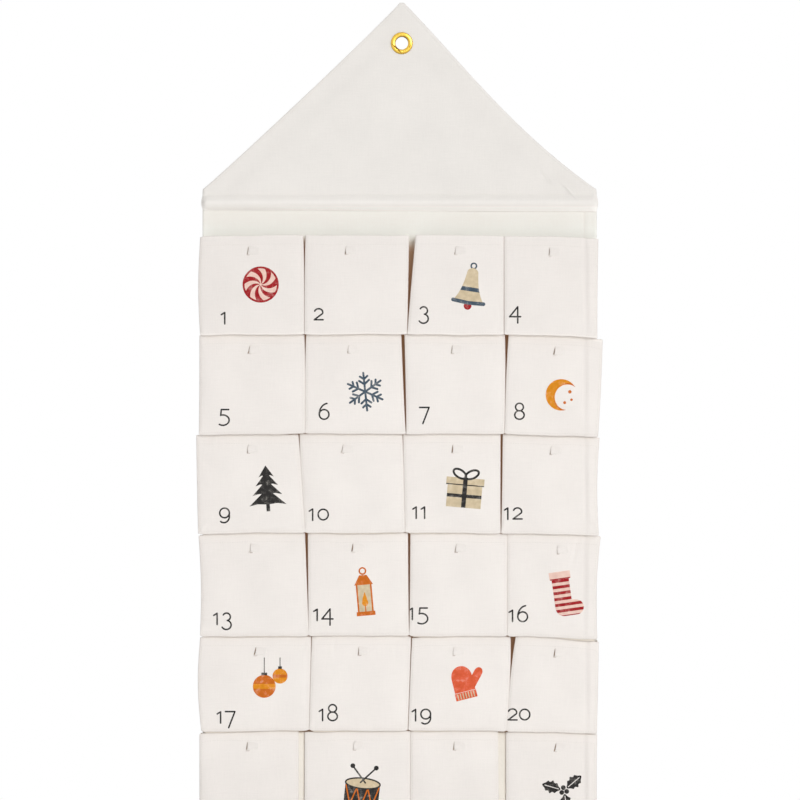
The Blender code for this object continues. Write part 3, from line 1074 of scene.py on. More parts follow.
class Press:
    """Draws each motif about its own centre, in millimetres."""

    def draw(self, motif: Motif) -> list[Patch]:
        """The motif's patches, from the lowest to the topmost."""
        return getattr(self, motif.name.lower())()

    def peppermint(self) -> list[Patch]:
        """A round sweet with curved red blades.

        Returns:
            Its patches, from the lowest to the topmost.
        """
        rim, reach, blades = 23.0, 20.5, 7
        patches = [Patch(Ink.RED, [disc(0, 0, rim)]), Patch(Ink.PINK, [disc(0, 0, reach)])]
        radii = np.linspace(1.5, reach + 1, 9)
        for blade in range(blades):
            middle = 360 * blade / blades + 52 * radii / reach
            half = 360 / blades / 4
            sides = []
            for angles in (middle - half, middle + half):
                turn = np.radians(angles)
                sides.append(np.stack([radii * np.cos(turn), radii * np.sin(turn)], axis=1))
            patches.append(Patch(Ink.RED, [np.concatenate([sides[0], sides[1][::-1]])]))
        return patches

    def bell(self) -> list[Patch]:
        """A handbell with a band, a rim, a ring and a clapper.

        Returns:
            Its patches, from the lowest to the topmost.
        """
        heights = np.linspace(0, 1, 15)
        half = 7.5 + 3.5 * np.sin(np.pi * heights / 2) + 9 * heights**3
        tops = 22 - 38 * heights
        dome = arc(0, 22, 7.5, 6.5, 0, 180)
        right = np.stack([half, tops], axis=1)[::-1]
        left = np.stack([-half, tops], axis=1)
        body = np.concatenate([right[:-1], dome[1:-1], left])
        return [
            stroke(Ink.SLATE, arc(0, 31.5, 3.6, 3.6, 0, 360), 2.0),
            Patch(Ink.RED, [disc(0, -22.5, 5.2)]),
            Patch(Ink.BEIGE, [body]),
            Patch(Ink.SLATE, [box(0, 0, 60, 5.5)], clip=body),
            stroke(Ink.SLATE, line(-20.5, -17, 0, -18.4, 20.5, -17), 5.0),
        ]

    def snowflake(self) -> list[Patch]:
        """Six arms with two pairs of twigs each.

        Returns:
            Its patches, from the lowest to the topmost.
        """
        pen, reach = 2.6, 24.0
        patches = []
        for arm in range(6):
            degrees = 60 * arm + 30
            paths = [line(0, 0, reach, 0)]
            for root, twig in ((9.5, 8.0), (16.0, 6.0)):
                for lean in (-52, 52):
                    tip = turned(line(twig, 0), lean) + (root, 0)
                    paths.append(np.concatenate([line(root, 0), tip]))
            patches += [stroke(Ink.SLATE, turned(path, degrees), pen) for path in paths]
        return patches

    def moon(self) -> list[Patch]:
        """A crescent with a darker inner edge and three dots.

        Returns:
            Its patches, from the lowest to the topmost.
        """
        back = arc(0, 0, 21, 21, 52, 308)
        front = arc(9.0, 0, 17.2, 17.2, 286, 74)
        edge = arc(7.6, 0, 17.2, 17.2, 286, 74)
        moon = np.concatenate([back, front])
        dots = [disc(9, 8, 2.3), disc(15, -1, 1.7), disc(8, -8, 2.0)]
        return [
            Patch(Ink.MUSTARD, [moon]),
            Patch(Ink.ORANGE, [np.concatenate([back, edge])], clip=disc(9.6, 0, 19.4)),
            *[Patch(Ink.ORANGE, [dot]) for dot in dots],
        ]

    def fir(self) -> list[Patch]:
        """A fir tree of four tiers with drooping tips, on a trunk.

        Returns:
            Its patches, from the lowest to the topmost.
        """
        patches = [Patch(Ink.CHARCOAL, [box(0, -27, 5, 11)])]
        for top, foot, half in ((31, 15, 10.5), (22, 3, 15.5), (11, -10, 20.5), (-1, -24, 25.5)):
            sag = line(half * 0.55, foot + 2.2, 0, foot + 1.0, -half * 0.55, foot + 2.2)
            tier = np.concatenate([line(0, top, -half, foot), sag[::-1], line(half, foot)])
            patches.append(Patch(Ink.CHARCOAL, [tier]))
        return patches

    def parcel(self) -> list[Patch]:
        """A wrapped parcel with a ribbon and a bow.

        Returns:
            Its patches, from the lowest to the topmost.
        """
        wrap = box(0, -8, 42, 32)
        patches = [
            Patch(Ink.BEIGE, [wrap]),
            Patch(Ink.BEIGE, [box(0, 8, 46, 8)]),
            Patch(Ink.CHARCOAL, [box(0, 3.4, 46, 1.3)]),
            Patch(Ink.CHARCOAL, [box(0, -6, 5.4, 36)]),
            Patch(Ink.CHARCOAL, [box(0, -10, 42, 4.2)]),
        ]
        for lean in (28, 152):
            loop = turned(arc(8.5, 0, 8.5, 4.6, 0, 360), lean) + (0, 12.5)
            patches.append(stroke(Ink.CHARCOAL, loop, 2.6))
        return patches

    def lantern(self) -> list[Patch]:
        """A tall lantern with a flame behind its glass.

        Returns:
            Its patches, from the lowest to the topmost.
        """
        glass = box(0, -4, 19, 36)
        flame = np.concatenate([arc(0, -10, 4.2, 4.6, 180, 360), line(2.6, -3, 0.4, 4.5, -2.8, -3.4)])
        return [
            stroke(Ink.ORANGE, arc(0, 32.5, 4.2, 4.2, 0, 360), 2.0),
            Patch(Ink.BEIGE, [glass]),
            Patch(Ink.MUSTARD, [flame]),
            stroke(Ink.ORANGE, line(0, -22, 0, -15), 1.6),
            Patch(Ink.ORANGE, [line(-12.5, 14, 12.5, 14, 5, 27, -5, 27)]),
            Patch(Ink.ORANGE, [box(0, -24.5, 25, 5.5)]),
            *[stroke(Ink.ORANGE, line(x, 14, x, -22), 2.2) for x in (-9.5, 9.5)],
        ]

    def stocking(self) -> list[Patch]:
        """A striped stocking with a turned-down top.

        Returns:
            Its patches, from the lowest to the topmost.
        """
        toe = arc(14.5, -19, 9.5, 9.5, 70, -90)
        heel = arc(-1, -17.5, 11, 11, 270, 180)
        leg = np.concatenate([line(-12, 20), line(10, 20), line(10, -8.5), toe, heel])
        stripes = [box(0, 16.5 - 7.6 * step, 80, 3.8) for step in range(7)]
        return [
            Patch(Ink.PINK, [leg]),
            *[Patch(Ink.RED, [stripe], clip=leg) for stripe in stripes],
            Patch(Ink.PINK, [box(-1, 23.5, 27, 9.5)]),
            stroke(Ink.RED, line(-13.2, 19.2, 11.2, 19.2), 1.5),
        ]

    def baubles(self) -> list[Patch]:
        """Two tree baubles on their strings.

        Returns:
            Its patches, from the lowest to the topmost.
        """
        patches = []
        large, small = (-7, -10, 14.5, Ink.ORANGE, Ink.MUSTARD), (13, 3, 9.5, Ink.MUSTARD, Ink.ORANGE)
        for x, y, radius, ink, band in (large, small):
            ball = disc(x, y, radius)
            patches += [
                stroke(Ink.CHARCOAL, line(x, y + radius + 3, x, 26), 1.0),
                Patch(ink, [ball]),
                Patch(band, [box(x, y, 60, radius * 0.42)], clip=ball),
                Patch(Ink.CHARCOAL, [box(x, y + radius + 1.2, radius * 0.5, 3.2)]),
            ]
        return patches

    def mitten(self) -> list[Patch]:
        """A mitten with a ribbed cuff.

        Returns:
            Its patches, from the lowest to the topmost.
        """
        hand = np.concatenate([line(-13, -9), line(10, -9), arc(-1.5, 7, 11.5, 12.5, 0, 180), line(-13, 0)])
        thumb = turned(np.concatenate([arc(0, 9, 4.6, 5.6, 0, 180), line(-4.6, -7, 4.6, -7)]), -42) + (11.5, 1.5)
        cuff = [stroke(Ink.BEIGE, line(x, -10.6, x, -16.2), 1.2) for x in np.linspace(-10.5, 7.5, 7)]
        return [*[Patch(Ink.CORAL, [part]) for part in (hand, thumb, box(-1.5, -13.4, 24, 8))], *cuff]

    def drum(self) -> list[Patch]:
        """A toy drum with a zigzag cord and two sticks.

        Returns:
            Its patches, from the lowest to the topmost.
        """
        side = np.concatenate([line(-22, 9), arc(0, -17, 22, 6.5, 180, 360), line(22, 9)])
        zigzag = [(-21, 5), (-14, -18.5), (-7, 3), (0, -21), (7, 3), (14, -18.5), (21, 5)]
        cord = [stroke(Ink.ORANGE, line(*low, *high), 1.7) for low, high in zip(zigzag, zigzag[1:])]
        return [
            Patch(Ink.CHARCOAL, [side]),
            *cord,
            Patch(Ink.BEIGE, [disc(0, 9, 22, 0.3)]),
            stroke(Ink.CHARCOAL, arc(0, 9, 22, 6.6, 0, 360), 1.9),
            *[stroke(Ink.CHARCOAL, line(-side, 10, 5 * side, 30), 2.0) for side in (3, -3)],
            *[Patch(Ink.CHARCOAL, [disc(x, 30, 3.0)]) for x in (-15, 15)],
        ]

    def holly(self) -> list[Patch]:
        """Three prickly leaves with pale veins about three berries.

        Returns:
            Its patches, from the lowest to the topmost.
        """
        patches = []
        for degrees in (28, 152, 268):
            shares = np.linspace(0, 1, 25)
            half = 9.5 * np.sin(np.pi * shares) ** 0.8 * (0.72 + 0.28 * np.abs(np.cos(4 * np.pi * shares)) ** 3)
            along = 5 + 27 * shares
            upper = np.stack([along, half], axis=1)
            lower = np.stack([along, -half], axis=1)[::-1][1:-1]
            leaf = turned(np.concatenate([upper, lower])[::-1], degrees)
            vein = stroke(Ink.CHARCOAL, turned(line(8, 0, 28, 0), degrees), 1.1)
            patches.append(Patch(Ink.CHARCOAL, [leaf, *vein.outlines]))
        for degrees in (90, 210, 330):
            patches.append(Patch(Ink.CHARCOAL, [turned(disc(4.1, 0, 3.4), degrees)]))
        return patches


@dataclass(frozen=True)
class Placing:
    """Where a motif is printed in its pocket: from the pocket's middle in metres, with its tilt in degrees."""

    x: float
    z: float
    tilt: float
    size: float = 1.0


PLACINGS = {
    Motif.PEPPERMINT: Placing(12 * MM, 2 * MM, 10),
    Motif.BELL: Placing(16 * MM, -4 * MM, -9, 0.95),
    Motif.SNOWFLAKE: Placing(14 * MM, -8 * MM, 6),
    Motif.MOON: Placing(10 * MM, -12 * MM, -22, 0.95),
    Motif.FIR: Placing(22 * MM, -4 * MM, 4, 0.92),
    Motif.PARCEL: Placing(16 * MM, -4 * MM, -5, 1.05),
    Motif.LANTERN: Placing(8 * MM, -12 * MM, 5, 0.95),
    Motif.STOCKING: Placing(14 * MM, -10 * MM, 8),
    Motif.BAUBLES: Placing(20 * MM, 8 * MM, 0),
    Motif.MITTEN: Placing(6 * MM, 2 * MM, 14, 1.15),
    Motif.DRUM: Placing(6 * MM, -10 * MM, -6),
    Motif.HOLLY: Placing(16 * MM, -10 * MM, 12, 0.9),
}


# The calendar's sub-assemblies


@dataclass(frozen=True)
class Photograph:
    """How the photograph's pixels lie on the object, and what was measured in it by pixel."""

    metres_per_pixel: float = 1.2723 * MM
    eyelet_x: float = 401.8
    eyelet_y: float = 43.3
    width: float = 800.0
    numbers: tuple[tuple[float, float], ...] = (
        (221.6, 324.0), (314.0, 320.3), (419.0, 318.5), (509.4, 318.5),
        (219.0, 421.0), (319.0, 419.2), (419.6, 418.9), (514.0, 419.2),
        (219.7, 519.3), (309.3, 520.0), (412.6, 518.0), (504.0, 519.0),
        (214.0, 624.0), (313.8, 620.0), (408.7, 619.0), (508.7, 621.0),
        (217.5, 722.3), (319.2, 719.8), (412.0, 720.0), (507.4, 719.5),
        (215.0, 820.0), (313.0, 820.0), (411.0, 820.0), (513.0, 820.0),
    )

    def place(self, x: float, y: float) -> tuple[float, float]:
        """The object's x and z, in metres, at a pixel."""
        return (x - self.eyelet_x) * self.metres_per_pixel, (self.eyelet_y - y) * self.metres_per_pixel


PHOTOGRAPH = Photograph()


@dataclass(frozen=True)
class House:
    """The panel's outline and its bands, as in the solids, but that the sleeve ends 3.2 mm higher."""

    width: float = 0.500
    thickness: float = 1.6 * MM
    gable_height: float = 0.237
    tip_width: float = 0.005
    slope_bows: tuple[float, float] = (4.2 * MM, 14.5 * MM)
    bow_place_powers: tuple[float, float] = (0.9, 1.6)
    bow_round_powers: tuple[float, float] = (0.6, 0.8)
    tip_z: float = 0.051
    middle: float = -0.0027
    sleeve_below_corner: float = 0.007
    sleeve_height: float = 0.0198
    strip_height: float = 0.0332
    field_height: float = 0.757
    bottom_margin: float = 0.022
    row_arch: float = 0.0014
    row_droop: float = 0.0028
    seam_wave: float = 0.35 * MM

    @property
    def corner_z(self) -> float:
        """The height of the two corners under the gable."""
        return self.tip_z - self.gable_height

    @property
    def sleeve_top_z(self) -> float:
        """Where the sleeve starts."""
        return self.corner_z - self.sleeve_below_corner

    @property
    def sleeve_foot_z(self) -> float:
        """Where the sleeve ends."""
        return self.sleeve_top_z - self.sleeve_height

    @property
    def field_top_z(self) -> float:
        """The height of the first row's mouths."""
        return self.sleeve_foot_z - self.strip_height

    @property
    def foot_z(self) -> float:
        """The height of the panel's lower edge."""
        return self.field_top_z - self.field_height - self.bottom_margin

    @property
    def left(self) -> float:
        """The panel's left edge."""
        return self.middle - self.width / 2

    @property
    def height(self) -> float:
        """The whole panel's height."""
        return self.tip_z - self.foot_z

    @property
    def gable_area(self) -> float:
        """The area of the gable, with its slopes taken as straight."""
        return self.gable_height * (self.width + self.tip_width) / 2

    def reach(self, z: np.ndarray) -> np.ndarray:
        """How far down the gable a height lies: 0 at the tip, and 1 from the corners down."""
        return np.clip((self.tip_z - z) / self.gable_height, 0.0, 1.0)

    def side_x(self, side: int, z: np.ndarray) -> np.ndarray:
        """The panel's left (0) or right (1) edge at each height. The slopes bow inwards.

        Args:
            side: 0 for the left and 1 for the right.
            z: The heights.

        Returns:
            The edge's x at each.
        """
        reach = self.reach(z)
        arch = np.maximum(0.0, np.sin(math.pi * reach ** self.bow_place_powers[side]))
        bow = self.slope_bows[side] * arch ** self.bow_round_powers[side]
        half = mix(self.tip_width, self.width, reach) / 2
        return self.middle * reach + (2 * side - 1) * (half - bow)

    def row_rise(self, x: np.ndarray) -> np.ndarray:
        """How far a row's seams lie above their place at each x."""
        share = (x - self.left) / self.width
        return self.row_arch * (1 - (2 * share - 1) ** 4) - self.row_droop * share**6

    def seam_z(self, line: int, x: np.ndarray) -> np.ndarray:
        """The height of a line between two rows at each x, with its small waves, before the row's rise.

        Args:
            line: The line's number, from 0 at the first row's mouths.
            x: The places.

        Returns:
            The line's height at each.
        """
        start = self.field_top_z - self.field_height * ROW_EDGE_SHARES[line]
        long, middling = np.sin(x / 0.031 + 2.4 * line), np.sin(x / 0.0135 + 5.1 * line)
        return start + self.seam_wave * (long + 0.7 * middling + 0.4 * np.sin(x / 0.007 + line))

    def handled(self, x: np.ndarray, z: np.ndarray) -> np.ndarray:
        """How much painted shade darkens the cloth at each place: most at the left, in the first row and in the
        last.
        """
        left = 0.24 * smooth(-x, -0.05, 0.25)
        return left + 0.22 * smooth(z, -0.45, -0.27) + 0.26 * smooth(-z, 0.84, 0.97)


HOUSE = House()

# Each row's upper edge, and the last row's foot, as shares of the pocket field's height
ROW_EDGE_SHARES = (0.0, 0.166, 0.333, 0.499, 0.672, 0.831, 1.0)

# Where each row's five upright edges cross its mouth and its foot, as shares of the panel's width
MOUTH_EDGE_SHARES = (
    (-0.006, 0.258, 0.532, 0.765, 1.004),
    (-0.008, 0.260, 0.508, 0.772, 1.015),
    (-0.016, 0.244, 0.508, 0.759, 1.007),
    (-0.010, 0.263, 0.524, 0.773, 1.010),
    (-0.006, 0.276, 0.530, 0.788, 1.005),
    (-0.008, 0.251, 0.527, 0.760, 1.001),
)
FOOT_EDGE_SHARES = (
    (-0.006, 0.258, 0.519, 0.765, 1.001),
    (-0.009, 0.260, 0.516, 0.766, 1.003),
    (-0.011, 0.260, 0.514, 0.757, 1.005),
    (-0.006, 0.269, 0.524, 0.773, 1.001),
    (-0.003, 0.270, 0.521, 0.771, 1.000),
    (-0.008, 0.251, 0.527, 0.761, 1.002),
)

# How wide each row's three inner seams gape at the mouth and at the foot, in millimetres, and the power by which
# they close below the mouth
SEAM_GAPES = (
    ((3.6, 1.0, 4.0), (9.2, 1.0, 1.2), (0.9, 1.2, 1.0)),
    ((2.8, 0.6, 5.0), (4.8, 0.5, 0.45), (5.4, 0.9, 3.0)),
    ((2.2, 0.5, 7.0), (1.5, 0.7, 5.0), (3.4, 0.9, 0.4)),
    ((4.3, 0.5, 1.2), (3.6, 0.4, 0.5), (0.5, 0.8, 1.0)),
    ((1.6, 0.9, 5.0), (1.9, 1.2, 4.0), (7.2, 0.3, 3.6)),
    ((8.2, 7.8, 1.0), (0.7, 0.7, 1.0), (10.6, 9.3, 1.0)),
)

# How far each row's fronts bulge at the panel's left and right edge, in millimetres
OUTER_BULGES = (
    (2.3, -0.4),
    (-0.3, 0.7),
    (0.2, -2.6),
    (-2.1, -3.1),
    (3.6, 0.2),
    (-0.2, -1.0),
)

# How wide the gap along each line between two rows is in each column, as a share of the row gap
ROW_GAP_SHARES = (
    (0.2, 0.2, 0.3, 0.1),
    (-0.2, -0.2, -0.2, -0.2),
    (0.4, 0.6, 0.3, 0.4),
    (0.5, 0.5, 0.5, 0.1),
    (0.8, 0.5, 0.7, 0.8),
    (0.8, 0.9, 0.8, 0.6),
    (1.0, 1.0, 1.0, 1.0),
)

# How much the shade along each line is painted away, where the photograph shows hardly any
LINE_FADES = (0.3, 1.0, 0.0, 0.2, 0.0, 0.0, 0.0)

# How far the fronts' corners are rounded at each line, as shares of the corner's lift
CORNER_SHARES = (0.0, 0.3, 0.6, 0.8, 1.0, 1.0, 0.0)

# How far a gusset's foot shows below its front at the left end, in the middle and at the right end, in millimetres
FOOT_STRIPS = {
    9: (0.3, 0.1, 0.2),
    10: (1.0, 1.4, 1.5),
    11: (1.5, 1.2, 0.6),
    13: (0.9, 1.4, 0.8),
    14: (0.2, 0.1, 0.8),
    15: (1.8, 0.6, 0.5),
    16: (0.3, 0.5, 3.6),
    17: (2.1, 0.6, 1.2),
    18: (2.2, 1.2, 0.5),
    19: (1.9, 0.7, 0.5),
    20: (0.3, 0.1, 0.6),
}

# How far the fronts turn back at each line, as shares of the edge turn
ROW_TURN_SHARES = (1.0, 0.0, 0.45, 0.55, 0.85, 0.85, 1.0)

# Where mouths hang lower than their line, by pocket: the place across and how far it spreads, as shares of the
# mouth's width, and the depth in millimetres
TUCKS = {
    4: ((0.90, 0.08, 0.8),),
    8: ((0.97, 0.08, 1.8),),
    9: ((0.93, 0.07, 1.2),),
    13: ((0.0, 0.05, 2.2),),
    14: ((0.3, 0.10, 0.9),),
    19: ((0.04, 0.07, 2.2),),
    20: ((1.0, 0.15, 3.4),),
    21: ((0.0, 0.09, 2.6), (0.9, 0.12, 0.9)),
    22: ((0.12, 0.16, 1.9),),
    24: ((0.95, 0.10, 1.4),),
}

# Folds that show in the photograph, by pocket
FOLDS = {
    9: (
        Crease(-0.1340, -0.529, math.radians(-80), 25 * MM, 2.4 * MM, 0.8 * MM),
        Crease(-0.1300, -0.532, math.radians(-80), 22 * MM, 2.4 * MM, -0.6 * MM),
    ),
    16: (Crease(0.2200, -0.646, math.radians(78), 20 * MM, 2.4 * MM, -0.8 * MM),),
    17: (
        Crease(-0.1200, -0.768, math.radians(60), 8 * MM, 2.2 * MM, 0.6 * MM),
        Crease(-0.1240, -0.768, math.radians(60), 8 * MM, 2.2 * MM, -0.6 * MM),
    ),
    18: (
        Crease(-0.0850, -0.769, math.radians(88), 13 * MM, 2.4 * MM, -0.6 * MM),
        Crease(-0.0080, -0.772, math.radians(88), 11 * MM, 2.4 * MM, -0.6 * MM),
    ),
    20: (Crease(0.2170, -0.786, math.radians(-35), 24 * MM, 6.0 * MM, -0.6 * MM),),
}

# Where each loop's middle lies across its pocket's mouth, as a share of the mouth's width
LOOP_PLACE_SHARES = (
    (0.515, 0.442, 0.514, 0.535),
    (0.529, 0.502, 0.525, 0.546),
    (0.560, 0.469, 0.562, 0.554),
    (0.538, 0.500, 0.527, 0.595),
    (0.546, 0.527, 0.478, 0.535),
    (0.535, 0.518, 0.560, 0.600),
)


@dataclass(frozen=True)
class PocketCut:
    """The sizes that all pockets share."""

    cloth: float = 1.2 * MM
    gusset_cloth: float = 1.0 * MM
    foot_depth: float = 30 * MM
    mouth_depth: float = 22 * MM
    belly: float = 2.0 * MM
    edge_turn: float = 3.0 * MM
    fold: float = 0.8 * MM
    mouth_sag: float = 1.0 * MM
    foot_lift: float = 0.8 * MM
    mouth_lift: float = 1.6 * MM
    gusset_inset: float = 1.0 * MM
    gusset_corner: float = 6 * MM
    hem: float = 13 * MM
    hem_step: float = 0.05 * MM
    groove: float = 0.03 * MM
    side_turn: float = 1.1 * MM
    corner_lift: float = 1.3 * MM
    corner_reach: float = 2.0 * MM
    wide_gape: float = 5.0 * MM
    row_gap: float = 0.50 * MM
    seam_inset: float = 2.6 * MM
    loop_width: float = 12.7 * MM
    loop_height: float = 13 * MM
    loop_below_mouth: float = 9 * MM
    loop_stand: float = 2.4 * MM
    loop_cloth: float = 0.9 * MM
    loop_sink: float = 0.5 * MM
    print_lift: float = 0.13 * MM
    print_sink: float = 0.12 * MM
    spill_gap: float = 0.5 * MM
    crease_place: float = 0.2345
    blend_depth: float = 17.5 * MM
    seam_from_hem: float = 2.0 * MM
    side_power: int = 24
    foot_power: int = 16
    belly_power: float = 0.75
    hang_share: float = 0.6
    first_hang_share: float = 0.1
    hang_place: float = 0.92
    hang_spread: float = 0.08
    groove_spread: float = 0.8 * MM
    hem_pucker: float = 0.06 * MM
    fine_pucker: float = 0.09 * MM
    coarse_pucker: float = 0.16 * MM
    pucker_reach: float = 5 * MM
    held_edge: float = 6 * MM
    pleat: float = 1.1 * MM
    wrinkle: float = 0.16 * MM
    front_steps: int = 60
    fade_reach: float = 2.5 * MM


CUT = PocketCut()


@dataclass
class Pocket:
    """One pocket: its front with hem and prints, its gusset, its tape loop and its stitches."""

    row: int
    column: int
    cut: PocketCut = CUT
    creases: list[Crease] = field(default_factory=list)
    pressed: Optional[Crease] = None

    def __post_init__(self) -> None:
        """Works out its place and draws its creases."""
        self.number = self.row * COLUMNS + self.column + 1
        self.body = f"pocket_{self.number:02d}"
        top = HOUSE.field_top_z
        self.mouth_z = top - HOUSE.field_height * ROW_EDGE_SHARES[self.row] - self.cut.mouth_lift
        self.foot_z = top - HOUSE.field_height * ROW_EDGE_SHARES[self.row + 1] + self.cut.foot_lift
        self.height = self.mouth_z - self.foot_z
        self.phase = self.number * 0.382
        self.loop_share = LOOP_PLACE_SHARES[self.row][self.column]
        self._draw_creases()

    def _draw_creases(self) -> None:
        """Tucks at the foot's corners, soft folds over the front, and the pressed line in the last column with its
        painted shade.
        """
        random = np.random.default_rng(CREASE_SEED + self.number)
        self.dips = [(0.0, 0.03, random.uniform(0.2, 1.0) * MM), (1.0, 0.03, random.uniform(0.2, 1.0) * MM)]
        for _ in range(2):
            depth = random.uniform(0.1, 0.8) * max(0.0, ROW_GAP_SHARES[self.row][self.column]) * MM
            self.dips.append((random.uniform(0.1, 0.9), random.uniform(0.05, 0.14), depth))
        self.dips += [(place, spread, depth * MM) for place, spread, depth in TUCKS.get(self.number, ())]
        self.creases += FOLDS.get(self.number, ())
        left, right = float(self.side_x(0, 0.0)), float(self.side_x(1, 0.0))
        for corner, lean in ((left, 50), (right, 130)):
            for _ in range(2):
                angle = math.radians(lean + random.uniform(-28, 28))
                length = random.uniform(6, 15) * MM
                x = corner + math.cos(angle) * length * 0.5
                z = self.foot_z + math.sin(angle) * length * 0.5
                height = random.uniform(-0.7, 0.9) * MM
                self.creases.append(Crease(x, z, angle, length, random.uniform(1.6, 3.0) * MM, height))
        for _ in range(7):
            x = mix(left, right, random.uniform(0.05, 0.95))
            z = self.foot_z + self.height * random.uniform(0.05, 0.95)
            angle = random.uniform(0, math.pi)
            length = random.uniform(14, 40) * MM
            height = random.uniform(-0.35, 0.35) * MM
            self.creases.append(Crease(x, z, angle, length, random.uniform(3.5, 8) * MM, height))
        if self.column == COLUMNS - 1:
            place = self.cut.crease_place + random.uniform(-1.5, 1.5) * MM
            middle = self.foot_z + self.height / 2
            lean = math.pi / 2 + random.uniform(-0.02, 0.02)
            self.creases.append(Crease(place, middle, lean, self.height * 0.62, 2.8 * MM, -1.1 * MM))
            # A mask for the painted shade along the pressed line, not a shape
            self.pressed = Crease(place, middle + 0.1 * self.height, lean, self.height * 0.6, 3.2 * MM, 1.0)

    def side_x(self, side: int, v: np.ndarray) -> np.ndarray:
        """The left (0) or right (1) edge at share v of the way from foot to mouth.

        Args:
            side: 0 for the left and 1 for the right.
            v: Shares of the way from foot to mouth.

        Returns:
            The edge's x at each share.
        """
        edge = self.column + side
        outward = 2 * side - 1
        foot = HOUSE.left + HOUSE.width * FOOT_EDGE_SHARES[self.row][edge]
        mouth = HOUSE.left + HOUSE.width * MOUTH_EDGE_SHARES[self.row][edge]
        if edge in (0, COLUMNS):
            bulge = OUTER_BULGES[self.row][side] * MM
            return mix(foot, mouth, v) + outward * bulge * np.sin(math.pi * v)
        return mix(foot, mouth, v) - outward * self.gape(edge, v) / 2

    def gape(self, edge: int, v: np.ndarray) -> np.ndarray:
        """How wide an inner seam of this row gapes at share v up."""
        mouth, foot, power = SEAM_GAPES[self.row][edge - 1]
        return mix(foot * MM, mouth * MM, np.maximum(v, 0.0) ** power)

    def width(self, v: float) -> float:
        """How wide the front is at share v of the way from foot to mouth."""
        return float(self.side_x(1, v) - self.side_x(0, v))

    @property
    def middle(self) -> float:
        """The x of the front's middle, half way up."""
        return float(self.side_x(0, 0.5) + self.side_x(1, 0.5)) / 2

    def _feet(self, u: np.ndarray) -> tuple[np.ndarray, np.ndarray]:
        """The heights of the foot and of the mouth at share u across, before the row's rise.

        Args:
            u: Shares of the way across.

        Returns:
            The two heights at each share.
        """
        foot_x = mix(self.side_x(0, 0.0), self.side_x(1, 0.0), u)
        mouth_x = mix(self.side_x(0, 1.0), self.side_x(1, 1.0), u)
        below, above = (ROW_GAP_SHARES[line][self.column] for line in (self.row + 1, self.row))
        foot = HOUSE.seam_z(self.row + 1, foot_x) + self.cut.row_gap * below / 2
        mouth = HOUSE.seam_z(self.row, mouth_x) - self.cut.row_gap * above / 2
        for place, spread, depth in self.dips:
            mouth = mouth - depth * hump(u, place, spread)
        corner = np.exp(-((np.minimum(u, 1 - u) * HOUSE.width / COLUMNS / self.cut.corner_reach) ** 2))
        foot = foot + self.cut.corner_lift * CORNER_SHARES[self.row + 1] * corner
        return foot, mouth

    def surface(self, u: np.ndarray, v: np.ndarray) -> np.ndarray:
        """Points of the front's outer face.

        Args:
            u: Their shares across, from 0 at the left to 1 at the right.
            v: Their shares up, from 0 at the foot to 1 at the mouth.

        Returns:
            The points.
        """
        cut = self.cut
        foot, mouth = self._feet(u)
        left, right = self.side_x(0, v), self.side_x(1, v)
        x = mix(left, right, u)
        z = mix(foot, mouth, v) + HOUSE.row_rise(x)
        foot_turn = cut.edge_turn * ROW_TURN_SHARES[self.row + 1] * (1 - v) ** cut.foot_power
        turn = np.maximum(cut.side_turn * np.abs(2 * u - 1) ** cut.side_power, foot_turn)
        across = 1 - (2 * u - 1) ** 4
        belly = cut.belly * across * np.sin(math.pi * v**cut.belly_power)
        fold = cut.fold * across * np.sin(math.pi * v) * np.sin(2 * math.pi * (1.5 * u + v / 2 + self.phase))
        depth = mix(cut.foot_depth, cut.mouth_depth, v) - turn + belly + fold
        depth = depth + self._relief(x, z, x - left, right - x, v * self.height, (1 - v) * self.height)
        return np.stack([x, -depth, z], axis=-1)

    def _relief(
        self,
        x: np.ndarray,
        z: np.ndarray,
        from_left: np.ndarray,
        from_right: np.ndarray,
        from_foot: np.ndarray,
        from_mouth: np.ndarray,
    ) -> np.ndarray:
        """The hem, the seams' grooves and puckers, and the creases.

        Args:
            x: The points' x.
            z: The points' z.
            from_left: How far they lie from the front's left edge.
            from_right: How far they lie from its right edge.
            from_foot: How far they lie from its foot.
            from_mouth: How far they lie from its mouth.

        Returns:
            How far each point of the front's outer face is lifted.
        """
        cut = self.cut
        lift = cut.hem_step * smooth(cut.hem - from_mouth, -0.5 * MM, 0.5 * MM)
        seam = cut.hem - cut.seam_from_hem
        lift = lift - cut.groove * hump(from_mouth, seam, cut.groove_spread)
        lift = lift + cut.hem_pucker * hump(from_mouth, seam, 4 * MM) * np.sin(x / (1.5 * MM) + self.phase)
        for distance, along in ((from_left, z), (from_right, z), (from_foot, x)):
            fade = smooth(distance, 0.0, 1.2 * MM)
            lift = lift - cut.groove * hump(distance, cut.seam_inset, cut.groove_spread)
            pucker = cut.fine_pucker * np.sin(along / (1.7 * MM) + 3 * self.phase)
            pucker = pucker + cut.coarse_pucker * np.sin(along / (4.1 * MM))
            lift = lift + fade * pucker * np.exp(-distance / cut.pucker_reach)
        inward = np.minimum(np.minimum(from_left, from_right), np.minimum(from_foot, from_mouth + cut.held_edge))
        hold = smooth(inward, 0.0, cut.held_edge)
        for crease in self.creases:
            lift = lift + hold * crease.lift(x, z)
        return lift

    def shares_at(self, x: np.ndarray, z: np.ndarray) -> tuple[np.ndarray, np.ndarray]:
        """Finds places on the front.

        Args:
            x: The places' x.
            z: The places' z.

        Returns:
            Their shares across and up.
        """
        v = (z - self.foot_z) / self.height
        u = np.zeros_like(v)
        for _ in range(4):
            left, right = self.side_x(0, v), self.side_x(1, v)
            u = (x - left) / (right - left)
            foot, mouth = self._feet(u)
            v = (z - HOUSE.row_rise(x) - foot) / (mouth - foot)
        return np.clip(u, 0, 1), np.clip(v, 0, 1)

